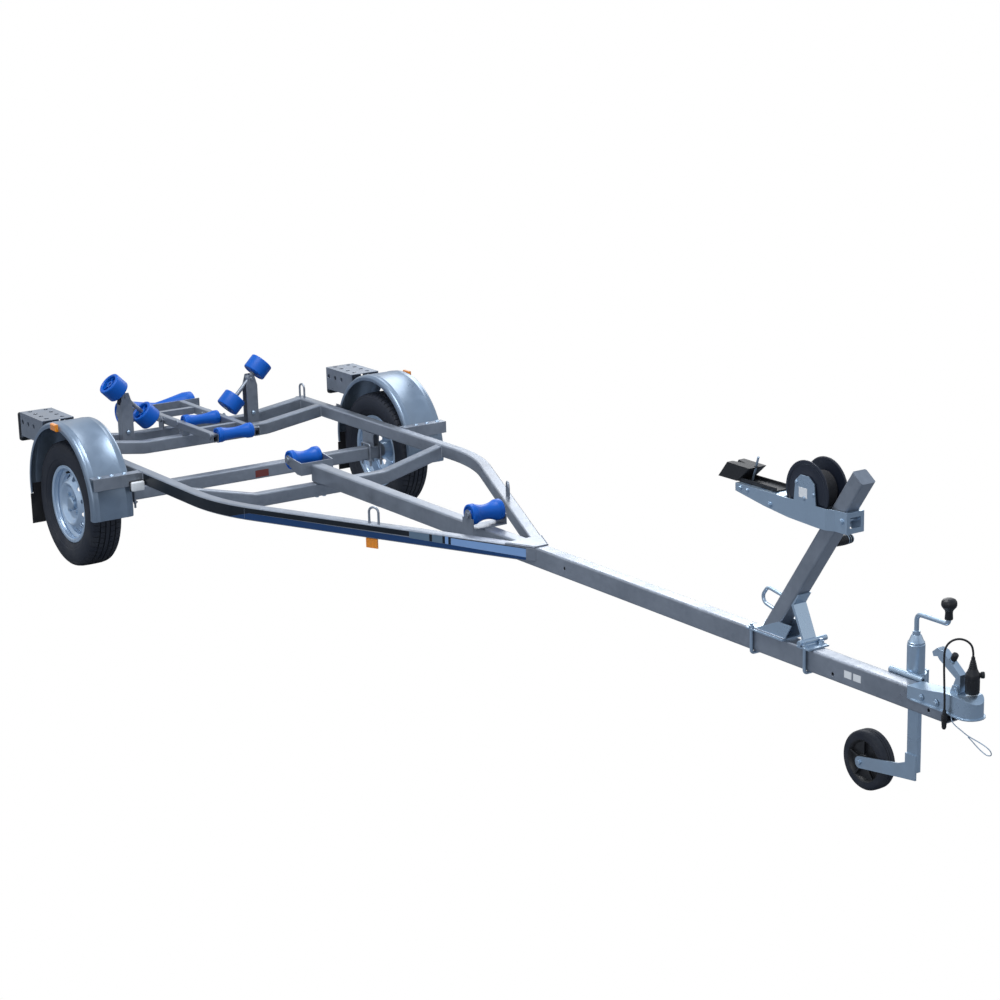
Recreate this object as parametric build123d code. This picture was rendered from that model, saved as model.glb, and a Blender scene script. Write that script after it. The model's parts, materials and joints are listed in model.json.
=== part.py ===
"""Boat trailer: single axle, V-shaped galvanised frame, keel rollers, tilting roller
cradle, wobble rollers, winch post and a jockey wheel on the drawbar.

Frame: millimetres, +Z up, the coupling points towards -Y, +X is the port (left) side.
Places along the trailer are given as a distance ahead of the axle line, places behind
the axle line are negative.
"""
from build123d import *
import math
import os

# ------------------------------------------------------------------ layout
AXLE_Y = 2009.0            # axle line in the part's own frame
TOP = 485.0                # top of rails and keel beam above the ground
AIR = 0.3                  # gap between faces that only lie on each other
RUN = 0.05                 # radial clearance of a pin in its bore
FAR = 6000.0               # reach of a cut that goes right through
SIDES = ((-1, "right"), (1, "left"))

# keel beam (drawbar)
BEAM_W, BEAM_H, BEAM_WALL, BEAM_R = 60.0, 80.0, 4.0, 9.0
BEAM_TAIL, BEAM_NOSE = 753.0, 4765.0
BEAM_BOTTOM = TOP - BEAM_H

# side rails
RAIL_W, RAIL_H, RAIL_WALL, RAIL_R = 50.0, 60.0, 3.0, 8.0
RAIL_OUT = 682.0           # outer face of the parallel part
RAIL_TAIL = -575.0
RAIL_BEND, RAIL_BEND_R = 1065.0, 900.0
RAIL_JOIN = 2449.0         # where the centre line meets the beam's side
RAIL_MID = RAIL_OUT - RAIL_W / 2
RAIL_IN = RAIL_OUT - RAIL_W
RAIL_Z = TOP - RAIL_H / 2
TOE = math.atan2(RAIL_MID - BEAM_W / 2, RAIL_JOIN - RAIL_BEND)      # rails' turn from Y
APEX_FROM, APEX_TO, APEX_T = RAIL_JOIN - 69.0, RAIL_JOIN + 56.0, 5.0  # plate over the joint

# cross members: name, distance ahead, half width of the low part, slope, top of low part
CROSS_W, CROSS_H, CROSS_WALL, CROSS_R = 50.0, 60.0, 3.0, 8.0
CROSS_MEMBERS = (
    # node, ahead, flat half width, top of the low part, top at the rails, bend radius
    ("front_cross_member", 772.0, 330.0, BEAM_BOTTOM, 478.0, 140.0),
    ("middle_cross_member", -340.0, 330.0, 440.0, 484.0, 260.0),
    ("rear_cross_member", -545.0, 330.0, 440.0, 484.0, 260.0),
)
SADDLE_AHEAD, SADDLE_TOP = CROSS_MEMBERS[1][1], CROSS_MEMBERS[1][3]
REAR_AHEAD, REAR_TOP = CROSS_MEMBERS[2][1], CROSS_MEMBERS[2][3]

# axle and wheels
WHEEL_R, WHEEL_W = 289.0, 155.0
WHEEL_X = RAIL_OUT + 130.0
RIM_LIP_R, RIM_BED_R, RIM_HALF = 179.0, 160.0, 60.0
AXLE_AHEAD, AXLE_Z, AXLE_S, AXLE_WALL = 130.0, WHEEL_R + 37.0, 60.0, 5.0
AXLE_HALF = WHEEL_X - 122.0
ARM_T, ARM_R = 20.0, 32.0
STUB_R, STUB_END = 17.0, WHEEL_X - 12.0
HUB_R, HUB_IN, HUB_BOLT_PCD, HUB_BOLTS = 62.0, WHEEL_X - 74.0, 100.0, 4
DISC_X = WHEEL_X + 34.0    # outer face of the rim's disc at the hub

# mudguards
GUARD_X, GUARD_W, GUARD_R, GUARD_T = WHEEL_X + 8.0, 200.0, WHEEL_R + 58.0, 2.5
GUARD_AHEAD, GUARD_Z, GUARD_LIP = 25.0, WHEEL_R + 38.0, 26.0
GUARD_FROM, GUARD_TO = -7.0, 187.0      # degrees from the front end over the top
STAY_T, STAY_H, STAY_REACH = 4.0, 55.0, 40.0
FLAP_T, FLAP_TONGUE, FLAP_LOW = 4.5, 45.0, WHEEL_R - 149.0

# lamps and eyes
LAMP_FROM, LAMP_TO = GUARD_R - 165.0, GUARD_R + 84.0   # lamp bracket, behind the axle
LAMP_TOP, LAMP_T = GUARD_Z + GUARD_R - 29.0, 2.5
LAMP_OUT, LAMP_IN = GUARD_X + 73.0, GUARD_X - 83.0
EYE_AHEAD = 1790.0

# rollers: radius at the ends, radius at the waist, length
KEEL_R, KEEL_WAIST, KEEL_LEN = 43.0, 31.0, 150.0
PIN_R = 8.0
FRONT_ROLLER = (2107.0, 542.0)          # ahead, height of the axis
MIDDLE_ROLLER = (632.0, 490.0)
BRACKET_T = 5.0
ROLLER_SIDE = 2.0                       # play at each end of a roller

# tilting cradle
BAR_W, BAR_H, BAR_IN, BAR_TOP = 30.0, 40.0, 95.0, 500.0
BAR_NOSE, BAR_TAIL = -8.0, -796.0
CRADLE_PIVOT = (REAR_AHEAD, 480.0)
CRADLE_ROLLERS = (
    # name, ahead, height of the axis, end radius, waist radius
    ("cradle_roller_front", -35.0, 487.0, 36.0, 26.0),
    ("cradle_roller_middle", -378.0, 492.0, 33.0, 24.0),
)
VEE_ROLLER = (-870.0, 464.0)            # the wide roller at the cradle's rear end
VEE_R, VEE_WAIST, VEE_HALF = 58.0, 27.0, 198.0
RUNG_AHEAD = (-205.0, -650.0)
LUG_GAP = 1.0
LUG_IN = BAR_IN + BAR_W + LUG_GAP
YOKE_IN = VEE_HALF + 3.0

# wobble rollers
POST_X, POST_W, POST_D, POST_T = 338.0, 60.0, 46.0, 5.0
WOBBLE_AHEAD = REAR_AHEAD + CROSS_W / 2 + POST_D / 2
WOBBLE_Z, WOBBLE_TILT = 632.0, 45.0
WOBBLE_OUT, WOBBLE_IN = 70.0, 152.0     # arm lengths from the pivot to each wheel
WOBBLE_R, WOBBLE_LEN, SHAFT_R = 58.0, 75.0, 10.0
WHEEL_CUP, CUP_R = 22.0, 41.0           # depth and radius of a wobble wheel's hollow face

# winch post and winch
POST_SIZE, POST_LEAN, BASE_T = 60.0, 35.2, 6.0
JOCKEY_BACK, JOCKEY_TRAIL = 250.0, 245.0        # clamp behind the nose, wheel behind the leg
POST_BACK = 620.0                       # post's foot behind the jockey wheel's clamp
POST_FOOT = BEAM_NOSE - JOCKEY_BACK - POST_BACK     # where the post's axis meets its base
CARRIAGE = (POST_FOOT - 140.0, POST_FOOT + 408.0)       # rear and front end, ahead
CARRIAGE_TOP, CARRIAGE_DEEP, CARRIAGE_HALF, CARRIAGE_T = 998.0, 72.0, 54.0, 4.0
PINCH_HALF = 38.0                       # the carriage's slim front, round the post
POST_TOP = CARRIAGE_TOP + 120.0
DRUM_AHEAD, DRUM_Z = POST_FOOT + 218.0, CARRIAGE_TOP + 37.0
FLANGE_R, FLANGE_T, FLANGE_X, CORE_R, STRAP_R = 106.0, 6.0, 45.0, 24.0, 62.0
CRANK_LEN = 195.0

# jockey wheel
JOCKEY_X, JOCKEY_AHEAD = 80.0, BEAM_NOSE - JOCKEY_BACK
CLAMP_LOW, CLAMP_TOP = 432.0, 488.0
TUBE_R, TUBE_BORE, TUBE_LOW, TUBE_TOP = 30.0, 27.4, 420.0, 588.0
LEG_D, LEG_W, LEG_LOW, LEG_TOP = 50.0, 20.0, 146.0, 466.0
JWHEEL_R, JWHEEL_W, JWHEEL_X, JWHEEL_AHEAD = 105.0, 60.0, 110.0, JOCKEY_AHEAD - JOCKEY_TRAIL
JCRANK_Z, JCRANK_REACH = TUBE_TOP + 100.0, 145.0

# coupling
BALL_AHEAD, BALL_Z, BALL_R = BEAM_NOSE + 77.0, 472.0, 25.3
COUPLING = (BALL_AHEAD - 247.0, BALL_AHEAD + 53.0)      # rear and front end, ahead
COUPLING_LOW = 446.0


# ------------------------------------------------------------------ helpers
def ahead(distance):
    """Y of a place that lies this far ahead of the axle line."""
    return AXLE_Y - distance


def block(x0, x1, y0, y1, z0, z1):
    """Box between two corners, given in any order."""
    size = (abs(x1 - x0), abs(y1 - y0), abs(z1 - z0))
    return Pos((x0 + x1) / 2, (y0 + y1) / 2, (z0 + z1) / 2) * Box(*size)


def rod(start, end, radius):
    """Round bar from one point to another."""
    line = Vector(*end) - Vector(*start)
    return Solid.make_cylinder(radius, line.length, Plane(origin=start, z_dir=line))


def disc(x0, x1, y, z, radius):
    """Round bar along X."""
    return rod((min(x0, x1), y, z), (max(x0, x1), y, z), radius)


def ring(x0, x1, y, z, outer, inner):
    """Tube along X."""
    return disc(x0, x1, y, z, outer) - disc(x0, x1, y, z, inner)


def bent_rod(points, radii, radius):
    """Round bar along straight runs joined by arcs."""
    path = FilletPolyline(*points, radius=radii)
    return sweep(Plane(origin=path @ 0, z_dir=path % 0) * Circle(radius), path=path)


def box_section(width, height, wall, corner):
    """Section of a hollow rectangular tube."""
    inner = RectangleRounded(width - 2 * wall, height - 2 * wall, max(corner - wall, 1))
    return RectangleRounded(width, height, corner) - inner


def side_plate(outline, x0, x1):
    """Plate with an outline in (distance ahead, height), between two X values."""
    face = make_face(Polyline([(ahead(a), z) for a, z in outline], close=True))
    low = min(x0, x1)
    return extrude(Plane.YZ.offset(low) * face, abs(x1 - x0))


def turned(profile, y, z):
    """Solid of revolution about an X axis; the profile is (x, radius) pairs."""
    face = make_face(Polyline(profile, close=True))
    return Pos(0, y, z) * revolve(face, axis=Axis.X)


def write(shape, node):
    """Write one node; several solids in one node stay separate."""
    solids = shape.solids()
    out = solids[0] if len(solids) == 1 else Compound(children=list(solids))
    out.label = node
    export_step(out, os.path.join("parts", node + ".step"))


def both_sides(make):
    """The same piece on the right and, mirrored, on the left."""
    one = make()
    return Compound(children=[*one.solids(), *one.mirror(Plane.YZ).solids()])


# ------------------------------------------------------------------ frame
def keel_beam():
    section = Plane.XZ.offset(-ahead(BEAM_TAIL)) * Pos(0, TOP - BEAM_H / 2)
    tube = extrude(section * box_section(BEAM_W, BEAM_H, BEAM_WALL, BEAM_R), BEAM_NOSE - BEAM_TAIL)
    for hole_ahead, height in ((2700.0, 445.0), (4235.0, 430.0), (4690.0, 430.0)):
        tube -= disc(-BEAM_W, BEAM_W, ahead(hole_ahead), height, 6.5)
    return tube


def side_rail(side):
    run_on = 120.0
    end = (BEAM_W / 2 - run_on * math.sin(TOE), ahead(RAIL_JOIN + run_on * math.cos(TOE)))
    points = [(side * RAIL_MID, ahead(RAIL_TAIL)), (side * RAIL_MID, ahead(RAIL_BEND)),
              (side * end[0], end[1])]
    path = Pos(0, 0, RAIL_Z) * FilletPolyline(*points, radius=RAIL_BEND_R)
    section = Plane(origin=path @ 0, x_dir=(1, 0, 0), z_dir=(0, -1, 0))
    tube = sweep(section * box_section(RAIL_W, RAIL_H, RAIL_WALL, RAIL_R), path=path)
    keep = block(side * BEAM_W / 2, side * 2 * RAIL_OUT, ahead(-2000), ahead(4000), 0, 2 * TOP)
    return tube & keep


def apex_plate():
    """Flat plate welded over the joint of the rails and the beam."""
    half = []
    for place in (APEX_FROM, APEX_TO):
        half.append((RAIL_JOIN - place) * math.tan(TOE) + (BEAM_W + RAIL_W / math.cos(TOE)) / 2 - 6)
    outline = Polyline((-half[0], ahead(APEX_FROM)), (half[0], ahead(APEX_FROM)),
                       (half[1], ahead(APEX_TO)), (-half[1], ahead(APEX_TO)), close=True)
    return Pos(0, 0, TOP) * extrude(make_face(outline), APEX_T)


def cross_member(place, flat, low_top, end_top, bend):
    drop = CROSS_H / 2
    reach = RAIL_IN + 60.0
    rise = (end_top - low_top) / (RAIL_IN - flat)
    high = low_top + rise * (reach - flat)
    points = [(-reach, high - drop), (-flat, low_top - drop), (flat, low_top - drop),
              (reach, high - drop)]
    path = Plane.XZ.offset(-ahead(place)) * FilletPolyline(*points, radius=bend)
    section = Plane(origin=path @ 0, x_dir=(0, 1, 0), z_dir=path % 0)
    tube = sweep(section * box_section(CROSS_W, CROSS_H, CROSS_WALL, CROSS_R), path=path)
    return tube & block(-RAIL_IN, RAIL_IN, ahead(-2000), ahead(4000), 0, 2 * TOP)


# ------------------------------------------------------------------ axle
def axle_tube():
    section = Plane.YZ.offset(-AXLE_HALF) * Pos(ahead(AXLE_AHEAD), AXLE_Z)
    return extrude(section * box_section(AXLE_S, AXLE_S, AXLE_WALL, 7.0), 2 * AXLE_HALF)


def axle_brackets():
    """Welded seats between rail and axle, with U-bolts round the axle tube."""
    def make():
        y = ahead(AXLE_AHEAD)
        top, low = TOP - RAIL_H, AXLE_Z + AXLE_S / 2
        x0, x1 = -RAIL_OUT + 14, -RAIL_IN - 2
        seat = block(x0, x1, y - 55, y + 55, top - 5, top)
        seat += block(x0, x1, y - 55, y + 55, low, low + 5)
        for x in (x0, x1 - 5):
            seat += block(x, x + 5, y - 48, y + 48, low + 5, top - 5)
        legs = []
        for x in (x0 - 12.0, x1 + 12.0):
            loop = bent_rod([(x, y - 38, AXLE_Z - 62), (x, y - 38, low + 14),
                             (x, y + 38, low + 14), (x, y + 38, AXLE_Z - 62)],
                            [12, 12], 5.0)
            strap = block(x - 8, x + 8, y - 50, y + 50, AXLE_Z - 36, AXLE_Z - 30)
            strap -= rod((x, y - 38, 0), (x, y - 38, TOP), 5.0)
            strap -= rod((x, y + 38, 0), (x, y + 38, TOP), 5.0)
            legs += [loop, strap]
            for leg in (y - 38, y + 38):
                nut = Pos(x, leg, AXLE_Z - 41) * extrude(RegularPolygon(8.6, 6), 5)
                legs.append(nut - rod((x, leg, 0), (x, leg, TOP), 5.0))
        return Compound(children=[seat, *legs])
    return both_sides(make)


def suspension_arms():
    """Trailing arms on the axle's ends, each with its stub axle."""
    def make():
        x0, x1 = -AXLE_HALF - ARM_T, -AXLE_HALF
        big = disc(x0, x1, ahead(AXLE_AHEAD), AXLE_Z, ARM_R)
        small = disc(x0, x1, ahead(0), WHEEL_R, ARM_R - 4)
        slope = math.degrees(math.atan2(AXLE_Z - WHEEL_R, AXLE_AHEAD))
        mid_y, mid_z = ahead(AXLE_AHEAD / 2), (AXLE_Z + WHEEL_R) / 2
        length = math.hypot(AXLE_AHEAD, AXLE_Z - WHEEL_R)
        web = Pos((x0 + x1) / 2, mid_y, mid_z) * Rot(-slope, 0, 0) * Box(ARM_T, length, 44)
        stub = disc(-STUB_END, x0, ahead(0), WHEEL_R, STUB_R)
        flange = disc(x0 - 8, x0, ahead(0), WHEEL_R, STUB_R + 8)
        return Compound(children=[big + small + web + stub + flange])
    return both_sides(make)


# ------------------------------------------------------------------ wheels
def tyre(side):
    half, lip = WHEEL_W / 2, RIM_HALF - 6
    with BuildSketch(Plane.XY) as sketch:
        with BuildLine():
            Polyline((-lip, RIM_BED_R + 4), (lip, RIM_BED_R + 4), (lip, RIM_LIP_R + 1))
            ThreePointArc((lip, RIM_LIP_R + 1), (half, (RIM_LIP_R + WHEEL_R) / 2 - 3),
                          (half - 9, WHEEL_R - 16))
            ThreePointArc((half - 9, WHEEL_R - 16), (half - 14, WHEEL_R - 8),
                          (half - 24, WHEEL_R - 3))
            ThreePointArc((half - 24, WHEEL_R - 3), (0, WHEEL_R), (24 - half, WHEEL_R - 3))
            ThreePointArc((24 - half, WHEEL_R - 3), (14 - half, WHEEL_R - 8),
                          (9 - half, WHEEL_R - 16))
            ThreePointArc((9 - half, WHEEL_R - 16), (-half, (RIM_LIP_R + WHEEL_R) / 2 - 3),
                          (-lip, RIM_LIP_R + 1))
            Line((-lip, RIM_LIP_R + 1), (-lip, RIM_BED_R + 4))
        make_face()
    body = revolve(sketch.sketch, axis=Axis.X)
    return Pos(side * WHEEL_X, ahead(0), WHEEL_R) * body


def rim(side):
    """Pressed steel rim: welded barrel and disc, with a ring of windows."""
    bed, lip = RIM_BED_R, RIM_LIP_R
    edge = RIM_HALF
    barrel = [(-edge, lip), (-edge + 5.5, lip), (-edge + 5.5, bed + 3.5), (-30, bed + 3.5),
              (-22, bed - 12), (22, bed - 12), (30, bed + 3.5), (edge - 5.5, bed + 3.5),
              (edge - 5.5, lip), (edge, lip), (edge, bed), (33, bed), (25, bed - 16),
              (-25, bed - 16), (-33, bed), (-edge, bed)]
    # disc profile, from the barrel inwards: bulges out, then drops to the hub face
    face = DISC_X - WHEEL_X
    plate = [(16, bed - 16), (20, bed - 16), (face + 4, 118), (face + 8, 96), (face + 2, 78),
             (face, 72), (face, 31), (face - 4, 31), (face - 4, 74), (face - 2, 80),
             (face + 4, 96), (face, 116), (12, bed - 16)]
    wheel = turned(barrel, 0, 0) + turned(plate, 0, 0)
    windows = 12
    for k in range(windows):
        turn = Rot(360.0 * k / windows, 0, 0)
        hole = Plane.YZ.offset(0) * Pos(0, 123) * SlotOverall(26, 17)
        wheel -= turn * extrude(hole, 80)
    for k in range(HUB_BOLTS):
        angle = math.radians(45 + 90 * k)
        y, z = HUB_BOLT_PCD / 2 * math.cos(angle), HUB_BOLT_PCD / 2 * math.sin(angle)
        wheel -= disc(0, 80, y, z, 6.6)
    if side < 0:
        wheel = wheel.mirror(Plane.YZ)
    return Pos(side * WHEEL_X, ahead(0), WHEEL_R) * wheel


def hub(side):
    """Hub with its flange, wheel bolts and grease cap."""
    face = DISC_X - 4
    body = disc(HUB_IN, face, 0, 0, 40) + disc(face - 10, face, 0, 0, HUB_R)
    body += disc(HUB_IN, HUB_IN + 14, 0, 0, 47)
    cap = disc(face, face + 22, 0, 0, 30)
    cap = chamfer(cap.edges().filter_by(GeomType.CIRCLE).sort_by(Axis.X)[-1], 5)
    body += cap
    for k in range(HUB_BOLTS):
        angle = math.radians(45 + 90 * k)
        y, z = HUB_BOLT_PCD / 2 * math.cos(angle), HUB_BOLT_PCD / 2 * math.sin(angle)
        body += disc(face, face + 4, y, z, 6.5)
        head = Pos(face + 4, y, z) * Rot(0, 90, 0) * extrude(RegularPolygon(10, 6), 11)
        body += head
    bore = disc(HUB_IN - 1, STUB_END + 3, 0, 0, STUB_R + RUN)
    body -= bore
    if side < 0:
        body = body.mirror(Plane.YZ)
    return Pos(0, ahead(0), WHEEL_R) * body


# ------------------------------------------------------------------ mudguards
def mudguard(side):
    """Rolled mudguard with turned-down, rounded edges."""
    half, radius, t = GUARD_W / 2, GUARD_R, GUARD_T
    corner = 16.0
    with BuildSketch(Plane.XY) as sketch:
        with BuildLine():
            FilletPolyline((-half, radius - GUARD_LIP), (-half, radius), (half, radius),
                           (half, radius - GUARD_LIP), radius=corner)
            Line((half, radius - GUARD_LIP), (half - t, radius - GUARD_LIP))
            FilletPolyline((half - t, radius - GUARD_LIP), (half - t, radius - t),
                           (t - half, radius - t), (t - half, radius - GUARD_LIP),
                           radius=corner - t)
            Line((t - half, radius - GUARD_LIP), (-half, radius - GUARD_LIP))
        make_face()
    arc = GUARD_TO - GUARD_FROM
    shell = revolve(sketch.sketch, axis=Axis.X, revolution_arc=arc)
    # the sketch starts at +Y; turn it so that the sweep runs from the front over the top
    shell = Rot(180 - GUARD_FROM - arc, 0, 0) * shell
    shell = Pos(side * GUARD_X, ahead(GUARD_AHEAD), GUARD_Z) * shell
    return shell


def guard_reach(radius, height):
    """Horizontal distance from the mudguard's centre to its surface at a height."""
    return math.sqrt(radius ** 2 - (height - GUARD_Z) ** 2)


def mudguard_brackets():
    """Channels in front of the wheels and angle stays behind them, from rail to mudguard."""
    def make():
        low = TOP - STAY_H
        y0 = ahead(GUARD_AHEAD + guard_reach(GUARD_R, low)) - AIR
        y1 = y0 - STAY_REACH
        x_far, x_near = -GUARD_X - GUARD_W / 2 + 4, -RAIL_OUT
        channel = block(x_far, x_near, y1, y1 + STAY_T, low, TOP)
        channel += block(x_far, x_near, y1, y0 + 8, TOP - STAY_T, TOP)
        for x in (-GUARD_X - 60, -GUARD_X, -GUARD_X + 60):
            lug = block(x - 12, x + 12, y1, y0 + 30, low, low + STAY_T)
            channel += lug
            channel -= rod((x, y1 + 22, TOP - 20), (x, y1 + 22, TOP + 20), 5)
        channel -= disc(x_far - 30, x_near, ahead(GUARD_AHEAD), GUARD_Z, GUARD_R + AIR)
        # rear stay: plate against the mudguard's inner lip, bar to the rail
        stay_z = RAIL_Z
        lip_r = GUARD_R - GUARD_LIP / 2
        yr = ahead(GUARD_AHEAD - guard_reach(lip_r, stay_z))
        lip_x = -GUARD_X + GUARD_W / 2
        stay = block(lip_x, lip_x + STAY_T, yr - 24, yr + 24, stay_z - 26, stay_z + 26)
        stay += block(lip_x + STAY_T, -RAIL_OUT, yr - 2, yr + 2, stay_z - 22, stay_z + 22)
        return Compound(children=[*channel.solids(), *stay.solids()])
    return both_sides(make)


def lamp_brackets():
    """Perforated sheet brackets on the mudguards' rear shoulders."""
    def make():
        y0, y1, top = ahead(-LAMP_FROM), ahead(-LAMP_TO), LAMP_TOP
        x0, x1, t = -LAMP_OUT, -LAMP_IN, LAMP_T
        sheet = block(x0, x1, y0, y1, top - t, top)
        for x in (x0, x1 - t):
            sheet += block(x, x + t, y0, y1, top - 110, top)
        sheet += block(x0, x1, y1 - t, y1, top - 120, top)
        for row in range(2):
            for column in range(4):
                hole_x = x0 + 40 + 76 * row
                hole_y = y0 + 40 + 62 * column
                sheet -= rod((hole_x, hole_y, top - 9), (hole_x, hole_y, top + 9), 11)
        for column in range(3):
            hole_y = y0 + 100 + 62 * column
            sheet -= disc(x0 - 9, x1 + 9, hole_y, top - 42, 11)
        around = disc(x0 - 50, x1 + 50, ahead(GUARD_AHEAD), GUARD_Z, GUARD_R + AIR)
        return Compound(children=[*(sheet - around).solids()])
    return both_sides(make)


def rear_lamps():
    def make():
        y = ahead(-LAMP_TO)
        lamp = block(-LAMP_OUT - 2, -LAMP_IN - 15, y + AIR, y + 34, LAMP_TOP - 139, LAMP_TOP - 5)
        return Compound(children=[fillet(lamp.edges().filter_by(Axis.Y), 10)])
    return both_sides(make)


def front_marker_lamps():
    def make():
        low = TOP - STAY_H
        y = ahead(GUARD_AHEAD + guard_reach(GUARD_R, low)) - AIR - STAY_REACH
        lamp = block(-RAIL_OUT - 68, -RAIL_OUT - 2, y - 26, y - AIR, TOP - 78, TOP - 32)
        return Compound(children=[chamfer(lamp.edges().filter_by(Axis.Y), 7)])
    return both_sides(make)


def rail_point(distance):
    """Centre line of the converging part of the left rail, and its turn from Y."""
    return RAIL_MID - (distance - RAIL_BEND) * math.tan(TOE), math.degrees(TOE)


def amber_side_lamps():
    """Side lamps on the mudguards and reflectors under the rails."""
    def make():
        x = -GUARD_X - GUARD_W / 2
        mid, crown = GUARD_AHEAD + 10, GUARD_Z + GUARD_R
        lamp = block(x - 16, x - AIR, ahead(mid + 27), ahead(mid - 27), crown - 30, crown + 2)
        lamp = chamfer(lamp.faces().sort_by(Axis.X)[0].edges(), 4)
        rail_x, toe = rail_point(EYE_AHEAD)
        tab = Rot(0, 0, toe) * Pos(-RAIL_W / 2 + 6, 0, 0) * Box(6, 56, 40)
        tab = Pos(-rail_x, ahead(EYE_AHEAD), TOP - RAIL_H - 20) * tab
        return Compound(children=[*lamp.solids(), *tab.solids()])
    return both_sides(make)


def tie_down_eyes():
    """Bent round-bar eyes on the rails."""
    def make():
        bar, wide, high = 5.0, 46.0, 66.0
        eyes = []
        rail_x, toe = rail_point(EYE_AHEAD)
        for x, y, turn in ((-rail_x, ahead(EYE_AHEAD), toe), (-RAIL_MID, ahead(RAIL_TAIL + 30), 0)):
            eye = bent_rod([(0, -wide / 2, 0), (0, -wide / 2, high), (0, wide / 2, high),
                            (0, wide / 2, 0)], [wide / 2 - 1, wide / 2 - 1], bar)
            eyes += (Pos(x, y, TOP) * Rot(0, 0, turn) * eye).solids()
        return Compound(children=eyes)
    return both_sides(make)


def mud_flaps():
    """Rubber flaps inside the mudguards' rear ends, wider below them."""
    def make():
        end = math.radians(GUARD_TO - 180)
        inner = GUARD_R - GUARD_T
        edge_z = GUARD_Z - inner * math.sin(end)
        y = ahead(GUARD_AHEAD - inner * math.cos(end)) - AIR
        flap = block(-GUARD_X - 84, -GUARD_X + 84, y - FLAP_T, y, edge_z - 3, edge_z + FLAP_TONGUE)
        flap += block(-GUARD_X - 98, -GUARD_X + 98, y - FLAP_T, y, FLAP_LOW, edge_z - 3)
        return Compound(children=[flap])
    return both_sides(make)


# ------------------------------------------------------------------ rollers
def waisted_roller(end_r, waist_r, length, place, height, bore=PIN_R + RUN):
    """Keel roller with a hollow waist, on an X axis."""
    half, band, edge = length / 2, 24.0, 4.0
    with BuildSketch(Plane.XY) as sketch:
        with BuildLine():
            Polyline((half - band, end_r), (half - edge, end_r), (half, end_r - edge), (half, bore),
                     (-half, bore), (-half, end_r - edge), (edge - half, end_r),
                     (band - half, end_r))
            ThreePointArc((band - half, end_r), (0, waist_r), (half - band, end_r))
        make_face()
    return Pos(0, ahead(place), height) * revolve(sketch.sketch, axis=Axis.X)


def roller_pin(reach, y, height):
    """Pin on an X axis with a round head outside each cheek."""
    pin = disc(-reach - 7, reach + 7, y, height, PIN_R)
    for sign in (-1, 1):
        pin += disc(sign * reach, sign * (reach + 7), y, height, 14)
    return pin


def roller_brackets():
    """Bent plates that carry the two fixed keel rollers, each with its pin."""
    side = KEEL_LEN / 2 + ROLLER_SIDE
    t = BRACKET_T
    place, height = FRONT_ROLLER
    y = ahead(place)
    front = block(-side - t, side + t, y - 38, y + 38, TOP, TOP + t)
    for x in (-side - t, side):
        front += block(x, x + t, y - 38, y + 38, TOP + t, height - 12)
        front += disc(x, x + t, y, height, 22) + block(x, x + t, y - 22, y + 22, TOP + t, height)
    front += roller_pin(side + t, y, height)

    place, height = MIDDLE_ROLLER
    y, web = ahead(place), ahead(BEAM_TAIL)
    middle = block(-side - t, side + t, web, web + t, height - 50, height + 6)
    for x in (-side - t, side):
        middle += side_plate([(BEAM_TAIL, height - 50), (BEAM_TAIL - 40, height - 50),
                              (place, height - 20), (place, height + 20), (BEAM_TAIL, height + 6)],
                             x, x + t)
        middle += disc(x, x + t, y, height, 22)
    middle += roller_pin(side + t, y, height)
    return Compound(children=[*front.solids(), *middle.solids()])


# ------------------------------------------------------------------ tilting cradle
def cradle_mounts():
    """Pivot lugs with their pin on the rear member, rest pads on the middle member."""
    place, height = CRADLE_PIVOT
    pieces = []
    for sign in (-1, 1):
        lug = side_plate([(place - 24, REAR_TOP), (place - 24, height), (place - 12, height + 16),
                          (place + 12, height + 16), (place + 24, height), (place + 24, REAR_TOP)],
                         sign * LUG_IN, sign * (LUG_IN + 6))
        lug += disc(sign * (LUG_IN + 6), sign * (LUG_IN + 13), ahead(place), height, 13)
        lug += disc(sign * (BAR_IN - 6), sign * (LUG_IN + 6), ahead(place), height, PIN_R)
        pieces.append(lug)
        x = sign * (BAR_IN + BAR_W / 2)
        pad = block(x - 18, x + 18, ahead(SADDLE_AHEAD + 22), ahead(SADDLE_AHEAD - 22),
                    SADDLE_TOP, BAR_TOP - BAR_H - AIR)
        pieces.append(pad)
    return Compound(children=[s for p in pieces for s in p.solids()])


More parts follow.
